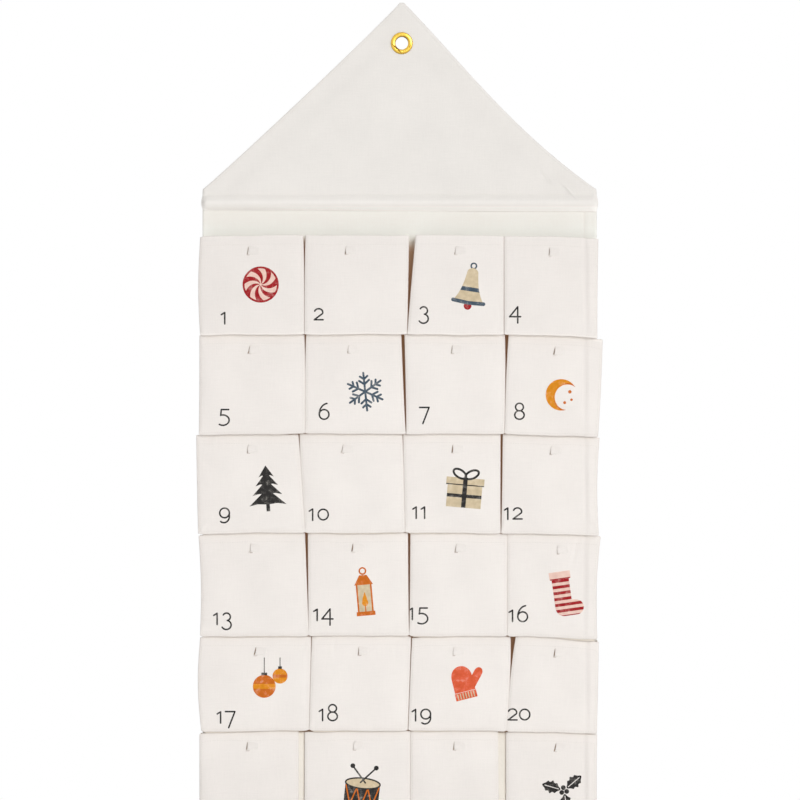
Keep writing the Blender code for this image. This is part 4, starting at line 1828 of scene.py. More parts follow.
    def loop_point(self, u: np.ndarray, v: np.ndarray) -> np.ndarray:
        """Points of the tape loop's outer face. It stands out further on its left, where it is open.

        Args:
            u: Their shares across, from 0 at the left to 1 at the right.
            v: Their shares up.

        Returns:
            The points.
        """
        cut = self.cut
        share = self.loop_share
        top = self.mouth_z - cut.mouth_sag * math.sin(math.pi * share) - cut.loop_below_mouth
        middle = mix(self.side_x(0, 1.0), self.side_x(1, 1.0), share)
        bend = 0.6 * MM * math.sin(5 * self.phase)
        lean = MM * (0.9 + 0.9 * math.sin(7 * self.phase))
        x = middle + cut.loop_width * (u - 0.5) + bend * np.sin(math.pi * v) + lean * (v - 0.5)
        z = top - cut.loop_height * (1 - v) + HOUSE.row_rise(middle) + 0 * u
        on = self.surface(*self.shares_at(x, z))
        round_share = np.sin(math.pi * (1 - np.clip(v, 0, 1)) ** 1.6) ** 0.7
        stand = cut.loop_stand * round_share * (1.0 - 0.66 * u**0.7) - cut.loop_sink
        return np.stack([x, on[..., 1] - stand, z], axis=-1)

    def build_front(self, finishes: Finishes) -> bpy.types.Object:
        """The canvas front.

        Args:
            finishes: The calendar's materials.

        Returns:
            The object, linked to the scene.
        """
        cut = self.cut
        width = self.width(1.0)
        slit = self.loop_share - cut.loop_width / 2 / width
        across = [slit + step * MM / width for step in (-2.6, -1.7, -0.9, -0.1, 0.7, 1.6)]
        across += [cut.seam_inset / width, 1 - cut.seam_inset / width]
        if self.column == COLUMNS - 1:
            left, right = float(self.side_x(0, 0.5)), float(self.side_x(1, 0.5))
            across += [(cut.crease_place + step * MM - left) / (right - left) for step in (-4, -2, -0.7, 0.7, 2, 4)]
        up = [1 - (cut.hem + step * MM) / self.height for step in (-3.0, -2.0, -1.0, -0.4, 0.4, 1.2)]
        us, vs = stations(cut.front_steps, *across), stations(cut.front_steps, *up)
        u, v = (part.ravel() for part in np.meshgrid(us, vs))
        outer = self.surface(u, v)
        inner = outer + np.array([0, cut.cloth, 0])
        flat = np.stack([u * width, v * self.height], axis=1) + self._cloth_place()
        sides = np.minimum(np.minimum(u, 1 - u) * width, v * self.height)
        above, below = LINE_FADES[self.row], LINE_FADES[self.row + 1]
        # Painted on the seam value: faint stitch lines, painted shade along the front's edges, painted light where a
        # line's shade is faded away, the painted shade falloff, and painted shade along the pressed line
        seam = 0.03 * hump((1 - v) * self.height, cut.hem - cut.seam_from_hem, 0.7 * MM)
        seam = np.maximum(seam, 0.05 * hump(sides, cut.seam_inset, 0.7 * MM))
        seam = np.maximum(seam, 0.2 * smooth(1.2 * MM - sides, 0, 1.2 * MM))
        seam = seam - above * hump((1 - v) * self.height, 0.0, cut.fade_reach)
        seam = seam - below * hump(v * self.height, 0.0, cut.fade_reach)
        seam = seam + HOUSE.handled(outer[:, 0], outer[:, 2])
        # Painted warm shade along every edge, and the painted shadow beside the loop
        warm = 0.06 * np.exp(-np.minimum(sides, (1 - v) * self.height) / (1.6 * MM))
        if self.pressed is not None:
            seam = seam + 0.6 * self.pressed.lift(outer[:, 0], outer[:, 2])
        painted = {DARK_MARKS_AND_PAINTED_LIGHT: seam, SHADE_AND_GLOW: np.maximum(self._slit(outer), warm)}
        sheet = Sheet(outer, inner, grid_faces(len(us), len(vs)), flat, painted)
        front = sheet.make(f"canvas_front_{self.number:02d}", [finishes.pocket])
        self._ride(front)
        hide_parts(f"pocket_front_{self.number:02d}")
        return front

    def _cloth_place(self) -> np.ndarray:
        """Where this pocket was cut from the bolt of cloth, in metres."""
        return np.array(BOLT_STEP) * self.number

    def _slit(self, points: np.ndarray) -> np.ndarray:
        """How dark the painted shadow beside the loop's left edge is at each point of the front.

        Args:
            points: The points.

        Returns:
            From 0 outside it to 1 in its depth.
        """
        edge = self.loop_point(np.zeros(2), np.array([0.0, 1.0]))
        low, high = edge[0, 2], edge[1, 2]
        up = np.clip((points[:, 2] - low) / (high - low), 0, 1)
        left = mix(edge[0, 0], edge[1, 0], up)
        reach = mix(1.3 * MM, 0.0, up) * (1 + 0.4 * math.sin(11 * self.phase))
        beside = smooth(points[:, 0], left - reach - 0.7 * MM, left - reach + 0.3 * MM)
        beside = beside * smooth(left + mix(3 * MM, 0.8 * MM, up**3) - points[:, 0], 0, 0.8 * MM)
        within = smooth(points[:, 2], low - 0.6 * MM, low + 1.2 * MM)
        within = within * smooth(high - 1.5 * MM - points[:, 2], 0, 2 * MM)
        return beside * within

    def build_gusset(self, finishes: Finishes) -> bpy.types.Object:
        """The strip that joins the front to the panel along both sides and the foot.

        Args:
            finishes: The calendar's materials.

        Returns:
            The object, linked to the scene.
        """
        cut = self.cut
        route = self._gusset_route()
        depths = np.array([0.0, 0.06, 0.14, 0.26, 0.38, 0.5, 0.62, 0.72, 0.8, 0.86, 0.9, 0.94, 0.97, 0.985, 1.0])
        index, share = (part.ravel() for part in np.meshgrid(np.arange(len(route)), depths))
        x, z, up, side_x, side_z = (route[index, column] for column in range(5))
        back = HOUSE.thickness - 0.4 * MM
        joined = -self.surface(*self.shares_at(route[:, 0], route[:, 1]))[:, 1] - cut.cloth * 0.6
        depth = mix(back, joined[index], share)
        random = np.random.default_rng(GUSSET_SEED + self.number)
        along = np.concatenate([[0], np.cumsum(np.hypot(np.diff(route[:, 0]), np.diff(route[:, 1])))])[index]
        pleat = -cut.pleat * np.sin(math.pi * share) ** 2 * smooth(up, 0.02, 0.25)
        wrinkle = np.zeros_like(pleat)
        for _ in range(5):
            wave, lean, start = random.uniform(12, 40) * MM, random.uniform(-2, 2), random.uniform(0, 6.28)
            wrinkle += cut.wrinkle * np.sin(2 * math.pi * along / wave + lean * share + start)
        out = pleat + wrinkle * np.sin(math.pi * share) + self._spill(x, share, up) + self._sag(x, share, up)
        outer = np.stack([x + side_x * out, -depth, z + side_z * out], axis=1)
        count = len(route)
        inner = outer - grid_normals(outer, count, len(depths)) * cut.gusset_cloth
        flat = np.stack([along, depth], axis=1) + self._cloth_place()[::-1]
        shade_and_glow = self._hidden(x, up) * mix(1.0, 0.55, share)
        painted = {DARK_MARKS_AND_PAINTED_LIGHT: 0.1 * hump(share, 1.0, 0.06), SHADE_AND_GLOW: shade_and_glow}
        sheet = Sheet(outer, inner, grid_faces(count, len(depths)), flat, painted)
        gusset = sheet.make(f"canvas_gusset_{self.number:02d}", [finishes.gusset])
        start = Vector((float(self.side_x(0, 0.5)), 0.0, self.foot_z))
        start - Vector((0, cut.blend_depth, 0))
        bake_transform(gusset)
        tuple(start)
        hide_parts(f"pocket_gusset_{self.number:02d}")
        return gusset

    def _spills(self) -> bool:
        """Whether the gusset spills out at the right, where the seam gapes wide along its whole height."""
        return self.column < COLUMNS - 1 and SEAM_GAPES[self.row][self.column][1] * MM > self.cut.wide_gape

    def _spill(self, x: np.ndarray, share: np.ndarray, up: np.ndarray) -> np.ndarray:
        """How far the gusset spills out beside the front.

        Args:
            x: The points' x.
            share: Their shares of the way from the panel to the front.
            up: The points' shares of the way up.

        Returns:
            The way out at each point.
        """
        if not self._spills():
            return np.zeros_like(x)
        reach = self.cut.gusset_inset + self.gape(self.column + 1, up) - self.cut.spill_gap
        spill = reach * smooth(up, 0.0, 0.10) * smooth(share, 0.6, 0.94) * smooth(1 - share, 0.0, 0.05)
        return np.where(x > self.middle, spill, 0.0)

    def _sag(self, x: np.ndarray, share: np.ndarray, up: np.ndarray) -> np.ndarray:
        """How far the gusset's foot hangs down, just behind the front, so that a strip of it shows here and there.

        Args:
            x: The points' x.
            share: Their shares of the way from the panel to the front.
            up: The points' shares of the way up.

        Returns:
            The way down at each point.
        """
        left, right = float(self.side_x(0, 0.0)), float(self.side_x(1, 0.0))
        across = np.clip((x - left) / (right - left), 0.0, 1.0)
        hang = self.foot_z + self.cut.gusset_inset - self._feet(across)[0]
        if self.number in FOOT_STRIPS:
            left_end, centre, right_end = (strip * MM for strip in FOOT_STRIPS[self.number])
            places = (0.0, 0.12, 0.5, 0.88, 1.0)
            hang = hang + np.interp(across, places, (left_end, left_end, centre, right_end, right_end))
        else:
            hang = hang * (self.cut.hang_share if self.row else self.cut.first_hang_share)
        foot = smooth(-up, -0.02, 0.0)
        return foot * hang * hump(share, self.cut.hang_place, self.cut.hang_spread) * smooth(1 - share, 0.0, 0.05)

    def _hidden(self, x: np.ndarray, up: np.ndarray) -> np.ndarray:
        """Where the gusset lies between pockets, so that only warm light reaches it: less so where they gape.

        Args:
            x: The points' x.
            up: The points' shares of the way up.

        Returns:
            From 0 where it is lit to 1 where it is hidden.
        """
        sides = []
        for side in range(2):
            edge = self.column + side
            if edge in (0, COLUMNS) or (side == 1 and self._spills()):
                sides.append(0 * up)
            else:
                wide = self.cut.wide_gape
                sides.append(1 - 0.7 * smooth(self.gape(edge, up), 0.5 * wide, 1.6 * wide))
        return mix(0.2, np.where(x < self.middle, *sides), smooth(up, 0.0, 0.03))

    def _gusset_route(self) -> np.ndarray:
        """The gusset's stations: x, z, share up, and the direction away from the pocket in x and z.

        Returns:
            A row of the five values for each station.
        """
        cut = self.cut
        low = self.foot_z + cut.gusset_inset
        height = self.mouth_z - low - 0.6 * MM
        radius = cut.gusset_corner
        turns = np.linspace(0, math.pi / 2, 7)
        ups = np.concatenate([np.linspace(1, radius / height, 26)[:-1], radius / height * (1 - np.sin(turns))])
        inset = np.concatenate([np.zeros(25), radius * (1 - np.cos(turns))])
        left = self.side_x(0, ups) + cut.gusset_inset + inset
        right = (self.side_x(1, ups) - cut.gusset_inset - inset)[::-1]
        foot = np.linspace(left[-1], right[0], 26)[1:-1]
        x = np.concatenate([left, foot, right])
        up = np.concatenate([ups, np.zeros(len(foot)), ups[::-1]])
        z = low + height * up + HOUSE.row_rise(x)
        tangent = unit(np.stack([np.gradient(x), np.gradient(z)], axis=1))
        return np.stack([x, z, up, tangent[:, 1], -tangent[:, 0]], axis=1)

    def build_loop(self, finishes: Finishes) -> bpy.types.Object:
        """The tape loop under the mouth.

        Args:
            finishes: The calendar's materials.

        Returns:
            The object, linked to the scene.
        """
        cut = self.cut
        us, vs = np.linspace(0, 1, 9), np.linspace(0, 1, 21)
        ends = (1 - np.cos(math.pi * vs)) / 2
        u, v = (part.ravel() for part in np.meshgrid(us, ends))
        outer = self.loop_point(u, v)
        inner = outer - grid_normals(outer, len(us), len(vs)) * cut.loop_cloth
        flat = np.stack([u * cut.loop_width, v * 1.3 * cut.loop_height], axis=1) + self._cloth_place()
        # Painted shade over the tape and more along its right edge, and the painted shade falloff
        seam = 0.04 + 0.1 * hump(u, 1.0, 0.06) + HOUSE.handled(outer[:, 0], outer[:, 2])
        painted = {DARK_MARKS_AND_PAINTED_LIGHT: seam, SHADE_AND_GLOW: 0 * u}
        sheet = Sheet(outer, inner, grid_faces(len(us), len(vs)), flat, painted)
        loop = sheet.make(f"tape_loop_{self.number:02d}", [finishes.tape])
        self._ride(loop)
        return loop

    def build_stitches(self, finishes: Finishes) -> bpy.types.Object:
        """The stitches of the hem, of both sides and the foot, and of the loop's two ends.

        Args:
            finishes: The calendar's materials.

        Returns:
            The object, linked to the scene.
        """
        cut = self.cut
        rows = Stitching()
        width = self.width(0.5)
        inset, low = cut.seam_inset / width, cut.seam_inset / self.height
        shares = np.linspace(0, 1, 60)
        hem = 1 - (cut.hem - cut.seam_from_hem) / self.height
        paths = [
            (mix(inset, 1 - inset, shares), np.full(60, hem)),
            (np.full(60, inset), mix(hem, low, shares)),
            (mix(inset, 1 - inset, shares), np.full(60, low)),
            (np.full(60, 1 - inset), mix(low, hem, shares)),
        ]
        for u, v in paths:
            rows.run(self.surface(u, v), (0, -1, 0))
        for end in (0.03, 0.97):
            path = self.loop_point(np.linspace(0.08, 0.92, 12), np.full(12, end))
            rows.run(path, (0, -1, 0))
        stitches = rows.make(f"pocket_stitches_{self.number:02d}", finishes.thread)
        self._ride(stitches)
        return stitches

    def build_print(self, finishes: Finishes) -> bpy.types.Object:
        """The printed number, and the motif where the pocket has one.

        Args:
            finishes: The calendar's materials.

        Returns:
            The object, linked to the scene.
        """
        left, baseline = PHOTOGRAPH.place(*PHOTOGRAPH.numbers[self.number - 1])
        patches = Numerals().draw(self.number, left, baseline)
        for motif in Motif:
            if motif.value == self.number:
                patches = self._motif(motif) + patches
        points, faces, inks = self._inked(patches)
        u, v = self.shares_at(points[:, 0], points[:, 1])
        on = self.surface(u, v)
        outer = on - np.array([0, self.cut.print_lift, 0])
        inner = on + np.array([0, self.cut.print_sink, 0])
        width = self.width(1.0)
        flat = np.stack([u * width, v * self.height], axis=1) + self._cloth_place()
        sheet = Sheet(outer, inner, faces, flat, {}, inks, 0.0)
        made = sheet.make(f"print_{self.number:02d}", finishes.inks)
        made.data.set_sharp_from_angle(angle=math.radians(40))
        self._ride(made)
        return made

    def _motif(self, motif: Motif) -> list[Patch]:
        """The motif's patches at their place on the front.

        Args:
            motif: The motif.

        Returns:
            The patches in the calendar's own metres.
        """
        placing = PLACINGS[motif]
        centre = np.array([self.middle + placing.x, self.foot_z + self.height / 2 + placing.z])

        def change(outline: Outline) -> Outline:
            """One outline, turned, scaled and moved to its place."""
            return turned(outline, placing.tilt) * placing.size * MM + centre

        return [patch.moved(change) for patch in Press().draw(motif)]

    def _inked(self, patches: list[Patch]) -> tuple[np.ndarray, np.ndarray, np.ndarray]:
        """Cuts all patches into triangles that each have one ink.

        Args:
            patches: The patches, from the lowest to the topmost.

        Returns:
            The points as x and z, the triangles, and each triangle's ink.
        """
        spots, edges = [], []
        outlines = [fine(outline) for patch in patches for outline in patch.outlines]
        outlines += [fine(patch.clip) for patch in patches if patch.clip is not None]
        for outline in outlines:
            first = len(spots)
            spots += [Vector(spot) for spot in outline]
            edges += [(first + k, first + (k + 1) % len(outline)) for k in range(len(outline))]
        every = np.concatenate(outlines)
        step = 2.2 * MM
        for x in np.arange(every[:, 0].min(), every[:, 0].max(), step):
            for z in np.arange(every[:, 1].min(), every[:, 1].max(), step):
                spots.append(Vector((x, z)))
        cut = delaunay_2d_cdt(spots, edges, [], 0, 0.02 * MM)
        points = np.array([tuple(spot) for spot in cut[0]])
        faces = np.array([tuple(face) for face in cut[2]])
        centres = points[faces].mean(axis=1)
        inks = np.full(len(faces), -1)
        order = list(Ink)
        for patch in patches:
            inks[patch.covers(centres)] = order.index(patch.ink)
        faces, inks = faces[inks >= 0], inks[inks >= 0]
        used, renamed = np.unique(faces, return_inverse=True)
        faces = renamed.reshape(-1, 3)
        points = points[used]
        a, b, c = (points[faces[:, k]] for k in range(3))
        area = (b[:, 0] - a[:, 0]) * (c[:, 1] - a[:, 1]) - (b[:, 1] - a[:, 1]) * (c[:, 0] - a[:, 0])
        faces[area < 0] = faces[area < 0][:, ::-1]
        return points, faces, inks

    def _ride(self, piece: bpy.types.Object) -> None:
        """Makes a piece move with this pocket's front."""
        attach(piece, self.body)

    def build(self, finishes: Finishes) -> None:
        """Builds the pocket.

        Args:
            finishes: The calendar's materials.
        """
        front = self.build_front(finishes)
        loop = self.build_loop(finishes)
        stitches = self.build_stitches(finishes)
        made = self.build_print(finishes)
        gusset = self.build_gusset(finishes)
        width = self.width(0.5)
        self.height
        log.info("pocket %d: front, gusset, loop, stitches and print", self.number)


@dataclass
class BackPanel:
    """The house-shaped panel behind everything, with hems folded to its back and a punched hole."""

    house: House = HOUSE
    hem: float = 15 * MM
    hem_cloth: float = 0.7 * MM
    groove: float = 0.3 * MM
    hole: float = 10.2 * MM
    around_hole: float = 16 * MM
    seam_inside: float = 1.2 * MM
    wobble: float = 0.35 * MM
    dull: float = 0.35
    # Painted light just above the first row's mouths, where the pockets shade the panel
    bright: float = 0.85

    def _front_lift(self, x: np.ndarray, z: np.ndarray, edge: np.ndarray) -> np.ndarray:
        """How far the front face stands out of its plane.

        Args:
            x: The points' x.
            z: The points' z.
            edge: How far they lie from the nearer side edge.

        Returns:
            The lift at each point.
        """
        waves = np.sin(x / (23 * MM) + 1.3 * np.sin(z / (61 * MM))) * np.sin(z / (37 * MM) + 0.7)
        calm = smooth(np.hypot(x, z), 0.018, 0.05)
        lift = self.wobble * (waves - 1) * calm / 2
        hem = np.where(x > 0, 1.0, 0.3) * smooth(self.house.corner_z - z, 0, 0.02)
        return lift - self.groove * hump(edge, self.hem, 0.9 * MM) * hem

    def build(self, finishes: Finishes) -> bpy.types.Object:
        """Builds the panel.

        Args:
            finishes: The calendar's materials.

        Returns:
            The object, linked to the scene.
        """
        house = self.house
        heights = [
            *np.linspace(house.foot_z, house.corner_z, 170),
            *np.linspace(house.corner_z, self.around_hole, 60),
            *np.linspace(self.around_hole, house.tip_z, 14),
            *np.linspace(-self.around_hole, self.around_hole, 17),
        ]
        heights = np.unique(heights)
        inset = self.hem / house.width
        us = stations(64, inset - 0.002, inset, inset + 0.002, 1 - inset - 0.002, 1 - inset, 1 - inset + 0.002)
        u, z = (part.ravel() for part in np.meshgrid(us, heights))
        x = mix(house.side_x(0, z), house.side_x(1, z), u)
        edge = np.minimum(u, 1 - u) * (house.side_x(1, z) - house.side_x(0, z))
        depth = house.thickness + self._front_lift(x, z, edge)
        folded = smooth(self.hem - edge, -0.5 * MM, 0.5 * MM) * smooth(house.corner_z - z, 0.0, 0.004)
        folded = np.maximum(folded, smooth(house.foot_z + self.hem - z, -0.5 * MM, 0.5 * MM))
        outer = np.stack([x, -depth, z], axis=1)
        inner = np.stack([x, self.hem_cloth * folded, z], axis=1)
        faces = punched(outer, inner, grid_faces(len(us), len(heights)), self.hole)
        flat = np.stack([x, z], axis=1)
        painted = {DARK_MARKS_AND_PAINTED_LIGHT: self._seam(x, z, edge), SHADE_AND_GLOW: self._shade(x, z)}
        panel = Sheet(outer, inner, faces, flat, painted).trimmed().make("canvas_panel", [finishes.panel])
        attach(panel, "panel")
        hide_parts("back_panel")
        return panel

    def _shade(self, x: np.ndarray, z: np.ndarray) -> np.ndarray:
        """Where the cloth lies deep behind the pockets, so that only warm light reaches it.

        Args:
            x: The points' x.
            z: The points' z.

        Returns:
            From 0 where it is lit to 1 where it is hidden.
        """
        house = self.house
        inward = np.minimum(x - house.left, house.left + house.width - x)
        behind = 0.8 * smooth(house.field_top_z - z, 0.004, 0.02) * smooth(inward, 0.004, 0.02)
        return behind * smooth(z - house.foot_z - house.bottom_margin, 0.002, 0.012)

    def _seam(self, x: np.ndarray, z: np.ndarray, edge: np.ndarray) -> np.ndarray:
        """The hem's shade, and painted light on the cloth just above the first row's mouths."""
        hem = np.where(x > 0, 0.6, 0.15) * hump(edge, self.hem, 1.0 * MM)
        return self.dull + hem - self.bright * hump(z, self.house.field_top_z + 2 * MM, 12 * MM)

    def stitches(self, finishes: Finishes) -> bpy.types.Object:
        """The stitches that show on the panel's back: the hems and every pocket's seam.

        Args:
            finishes: The calendar's materials.

        Returns:
            The object, linked to the scene.
        """
        house = self.house
        rows = Stitching()
        low, high = house.foot_z + self.hem - 2 * MM, house.corner_z - 4 * MM
        inset = self.hem - 2 * MM
        left, right = house.left + inset, house.left + house.width - inset
        bends = ((left, high), (left, low), (right, low), (right, high))
        corners = np.array([(x, self.hem_cloth, z) for x, z in bends])
        for start, end in zip(corners, corners[1:]):
            rows.run(np.linspace(start, end, 40), (0, 1, 0))
        for row in range(ROWS):
            for column in range(COLUMNS):
                route = Pocket(row, column)._gusset_route()
                inside_hem = np.minimum(route[:, 0] - house.left, house.left + house.width - route[:, 0])
                y = self.hem_cloth * smooth(self.hem - inside_hem, -0.5 * MM, 0.5 * MM)
                x, z = (route[:, place] - self.seam_inside * route[:, place + 3] for place in (0, 1))
                rows.run(np.stack([x, y, z], axis=1), (0, 1, 0))
        stitches = rows.make("panel_stitches", finishes.thread)
        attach(stitches, "panel")
        return stitches


@dataclass
class GableFacing:
    """The gable's front layer, turned under along its edges, whose foot wraps the dowel as a closed sleeve."""

    house: House = HOUSE
    cloth: float = 1.2 * MM
    seat: float = 1.9 * MM
    dowel: float = 5.0 * MM
    dowel_inset: float = 8.0 * MM
    end_slack: float = 3.0 * MM
    side_bulge: float = 2.0 * MM
    gap: float = 0.3 * MM
    edge_seam: float = 4.5 * MM
    foot_lean: float = 4.0 * MM
    foot_press: float = 1.25 * MM
    stand: float = 0.45 * MM
    groove: float = 0.1 * MM
    pucker: float = 0.15 * MM
    edge_groove: float = 0.12 * MM
    wobble: float = 0.25 * MM
    hole: float = 10.2 * MM
    around_hole: float = 16 * MM
    turned_under: float = 36 * MM
    creases: tuple[Crease, ...] = (
        Crease(0.184, -0.173, math.radians(-54), 0.016, 2.2 * MM, -0.7 * MM),
        Crease(0.2135, -0.1885, math.radians(-46), 0.011, 1.6 * MM, 1.1 * MM),
        Crease(-0.150, -0.120, math.radians(43), 0.050, 6.0 * MM, 0.5 * MM),
        Crease(0.100, -0.120, math.radians(-50), 0.045, 7.0 * MM, 0.4 * MM),
        Crease(-0.030, -0.080, math.radians(80), 0.040, 8.0 * MM, 0.35 * MM),
        Crease(-0.100, -0.165, math.radians(2), 0.050, 5.0 * MM, -0.4 * MM),
        Crease(0.040, -0.150, math.radians(8), 0.060, 8.0 * MM, 0.35 * MM),
    )
    dull: float = 0.3
    # Painted shade along the folds at the gable's right corner
    fold_marks: tuple[Crease, ...] = (
        Crease(0.2125, -0.1892, math.radians(-46), 0.0115, 0.9 * MM, 1.0),
        Crease(0.1845, -0.1735, math.radians(-54), 0.0110, 1.3 * MM, 0.35),
        Crease(0.2320, -0.2025, math.radians(-5), 0.0080, 0.8 * MM, 0.30),
    )

    def _around(self, z: np.ndarray) -> np.ndarray:
        """How far round the dowel the cloth is at each height: 0 at both of the sleeve's ends, 1 over the dowel."""
        share = np.clip((z - self.house.sleeve_foot_z) / self.house.sleeve_height, 0, 1)
        return np.sin(math.pi * share)

    @property
    def _seam_heights(self) -> tuple[float, float]:
        """The heights of the two rows of stitches along the sleeve."""
        return self.house.sleeve_top_z + 1.0 * MM, self.house.sleeve_foot_z + 1.6 * MM

    def surface(self, u: np.ndarray, z: np.ndarray) -> np.ndarray:
        """Points of the outer face.

        Args:
            u: Their shares across, from 0 at the left to 1 at the right.
            z: Their heights.

        Returns:
            The points.
        """
        house = self.house
        around = self._around(z)
        left = house.side_x(0, z) - self.side_bulge * around
        right = house.side_x(1, z) + self.side_bulge * around
        x = mix(left, right, u)
        edge = np.minimum(u, 1 - u) * (right - left)
        rise = (self.dowel + 2 * self.gap) * around**1.3
        end = self.dowel_inset - self.end_slack
        below = smooth(house.corner_z - z, 0, 0.006)
        closing = mix(smooth(edge, 0.0, end), 1.0, 1 - below)
        lift = rise * closing
        lift = lift + self.stand * smooth(edge, 0.0, 3 * MM)
        lift = lift - self.foot_press * smooth(house.sleeve_foot_z + 5 * MM - z, 0, 5 * MM)
        for place in self._seam_heights:
            lift = lift - self.groove * hump(z, place, 0.9 * MM)
            lift = lift + self.pucker * hump(z, place, 5 * MM) * np.sin(x / (2.6 * MM) + 1.5 * np.sin(x / 0.031))
        lift = lift - self.edge_groove * hump(edge, self.edge_seam, 0.9 * MM) * (1 - below)
        calm = smooth(np.hypot(x, z), 0.016, 0.04)
        soft = np.sin(x / 0.034 + 1.1 * np.sin(z / 0.05)) * np.sin(z / 0.029 + 0.4)
        lift = lift + calm * self.wobble * soft * smooth(edge, 0, 0.02)
        for crease in self.creases:
            lift = lift + calm * crease.lift(x, z) * smooth(edge, 0, 5 * MM)
        return np.stack([x, -(self.seat + self.cloth + lift), z], axis=-1)

    def build(self, finishes: Finishes) -> bpy.types.Object:
        """Builds the facing.

        Args:
            finishes: The calendar's materials.

        Returns:
            The object, linked to the scene.
        """
        house = self.house
        over = house.sleeve_top_z + 3 * MM
        heights = [
            *np.linspace(house.sleeve_foot_z, over, 30),
            *np.linspace(over, -self.around_hole, 66),
            *np.linspace(-0.190, -0.176, 16),
            *np.linspace(-self.around_hole, self.around_hole, 17),
            *np.linspace(self.around_hole, house.tip_z, 16),
        ]
        heights = np.unique(np.round(heights, 6))
        end = (self.dowel_inset - self.end_slack) / house.width
        folded = np.linspace(0.902, 0.958, 40)
        us = stations(70, end * 0.5, end, end * 1.6, 1 - end * 1.6, 1 - end, 1 - end * 0.5, *folded)
        u, z = (part.ravel() for part in np.meshgrid(us, heights))
        outer = self.surface(u, z)
        drop = self.foot_lean * (u - 0.1) - 0.8 * MM
        outer[:, 2] -= drop * smooth(house.sleeve_foot_z + 6 * MM - z, 0, 6 * MM) * 0.5
        inner = outer + np.array([0, self.cloth, 0])
        inner[:, 1] = np.minimum(inner[:, 1], -self.seat + 0.25 * MM)
        faces = punched(outer, inner, grid_faces(len(us), len(heights)), self.hole)
        edge = np.minimum(u, 1 - u) * (house.side_x(1, z) - house.side_x(0, z))
        seam = 0.05 * hump(edge, self.edge_seam, 0.8 * MM)
        for place in self._seam_heights:
            seam = np.maximum(seam, 0.08 * hump(z, place, 0.9 * MM))
        # Painted shade along the gable's folds
        for fold in self.fold_marks:
            seam = np.maximum(seam, fold.lift(outer[:, 0], z))
        turned_under = hump(edge, self.turned_under, 14 * MM) * np.where(u < 0.5, 1.0, 0.35)
        # Painted light on the sleeve's flanks and foot, and a pale painted glow along its foot, in place of light
        # where the sleeve's curve shades the cloth
        lower, upper = (house.sleeve_foot_z + share * house.sleeve_height for share in (0.30, 0.72))
        bright = 0.95 * hump(z, lower, 5 * MM) + 0.25 * hump(z, upper, 4 * MM)
        bright = bright + 0.7 * smooth(house.sleeve_foot_z + 4 * MM - z, 0, 3 * MM)
        painted_flank_glow = smooth(house.sleeve_foot_z + 6.5 * MM - z, 0, 2.5 * MM) * mix(0.6, 1.0, smooth(u, 0.05, 0.3))
        painted = {DARK_MARKS_AND_PAINTED_LIGHT: self.dull + seam + 0.2 * turned_under - bright, SHADE_AND_GLOW: painted_flank_glow}
        flat = np.stack([outer[:, 0], z], axis=1) + 0.7
        facing = Sheet(outer, inner, faces, flat, painted).trimmed().make("canvas_gable", [finishes.gable])
        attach(facing, "panel")
        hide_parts("gable_facing")
        return facing

    def stitches(self, finishes: Finishes) -> bpy.types.Object:
        """The stitches along both slopes and along the sleeve.

        Args:
            finishes: The calendar's materials.

        Returns:
            The object, linked to the scene.
        """
        house = self.house
        rows = Stitching()
        for place in self._seam_heights:
            share = np.linspace(0.012, 0.988, 160)
            rows.run(self.surface(share, np.full(160, place)), (0, -1, 0))
        heights = np.linspace(house.corner_z + 4 * MM, house.tip_z - 9 * MM, 120)
        share = self.edge_seam / (house.side_x(1, heights) - house.side_x(0, heights))
        for across in (share, 1 - share):
            rows.run(self.surface(across, heights), (0, -1, 0))
        stitches = rows.make("gable_stitches", finishes.thread)
        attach(stitches, "panel")
        return stitches


@dataclass(frozen=True)
class Streak:
    """A painted dark reflection that runs round a ring, or straight across a stretch of it. Its angles are in
    degrees.
    """

    angle: float
    reach: float
    distance: float
    straight: float
    strength: float
    width: float = 0.5 * MM

    def at(self, angle: float, radius: float) -> float:
        """How dark it makes the metal at this place of the ring.

        Args:
            angle: The place's angle in degrees.
            radius: Its distance from the centre.

        Returns:
            The darkness, where 1 is the most.
        """
        turn = (angle - self.angle + 180) % 360 - 180
        distance = radius * mix(1.0, math.cos(math.radians(turn)), self.straight)
        return self.strength * math.exp(-((turn / self.reach) ** 4) - ((distance - self.distance) / self.width) ** 2)


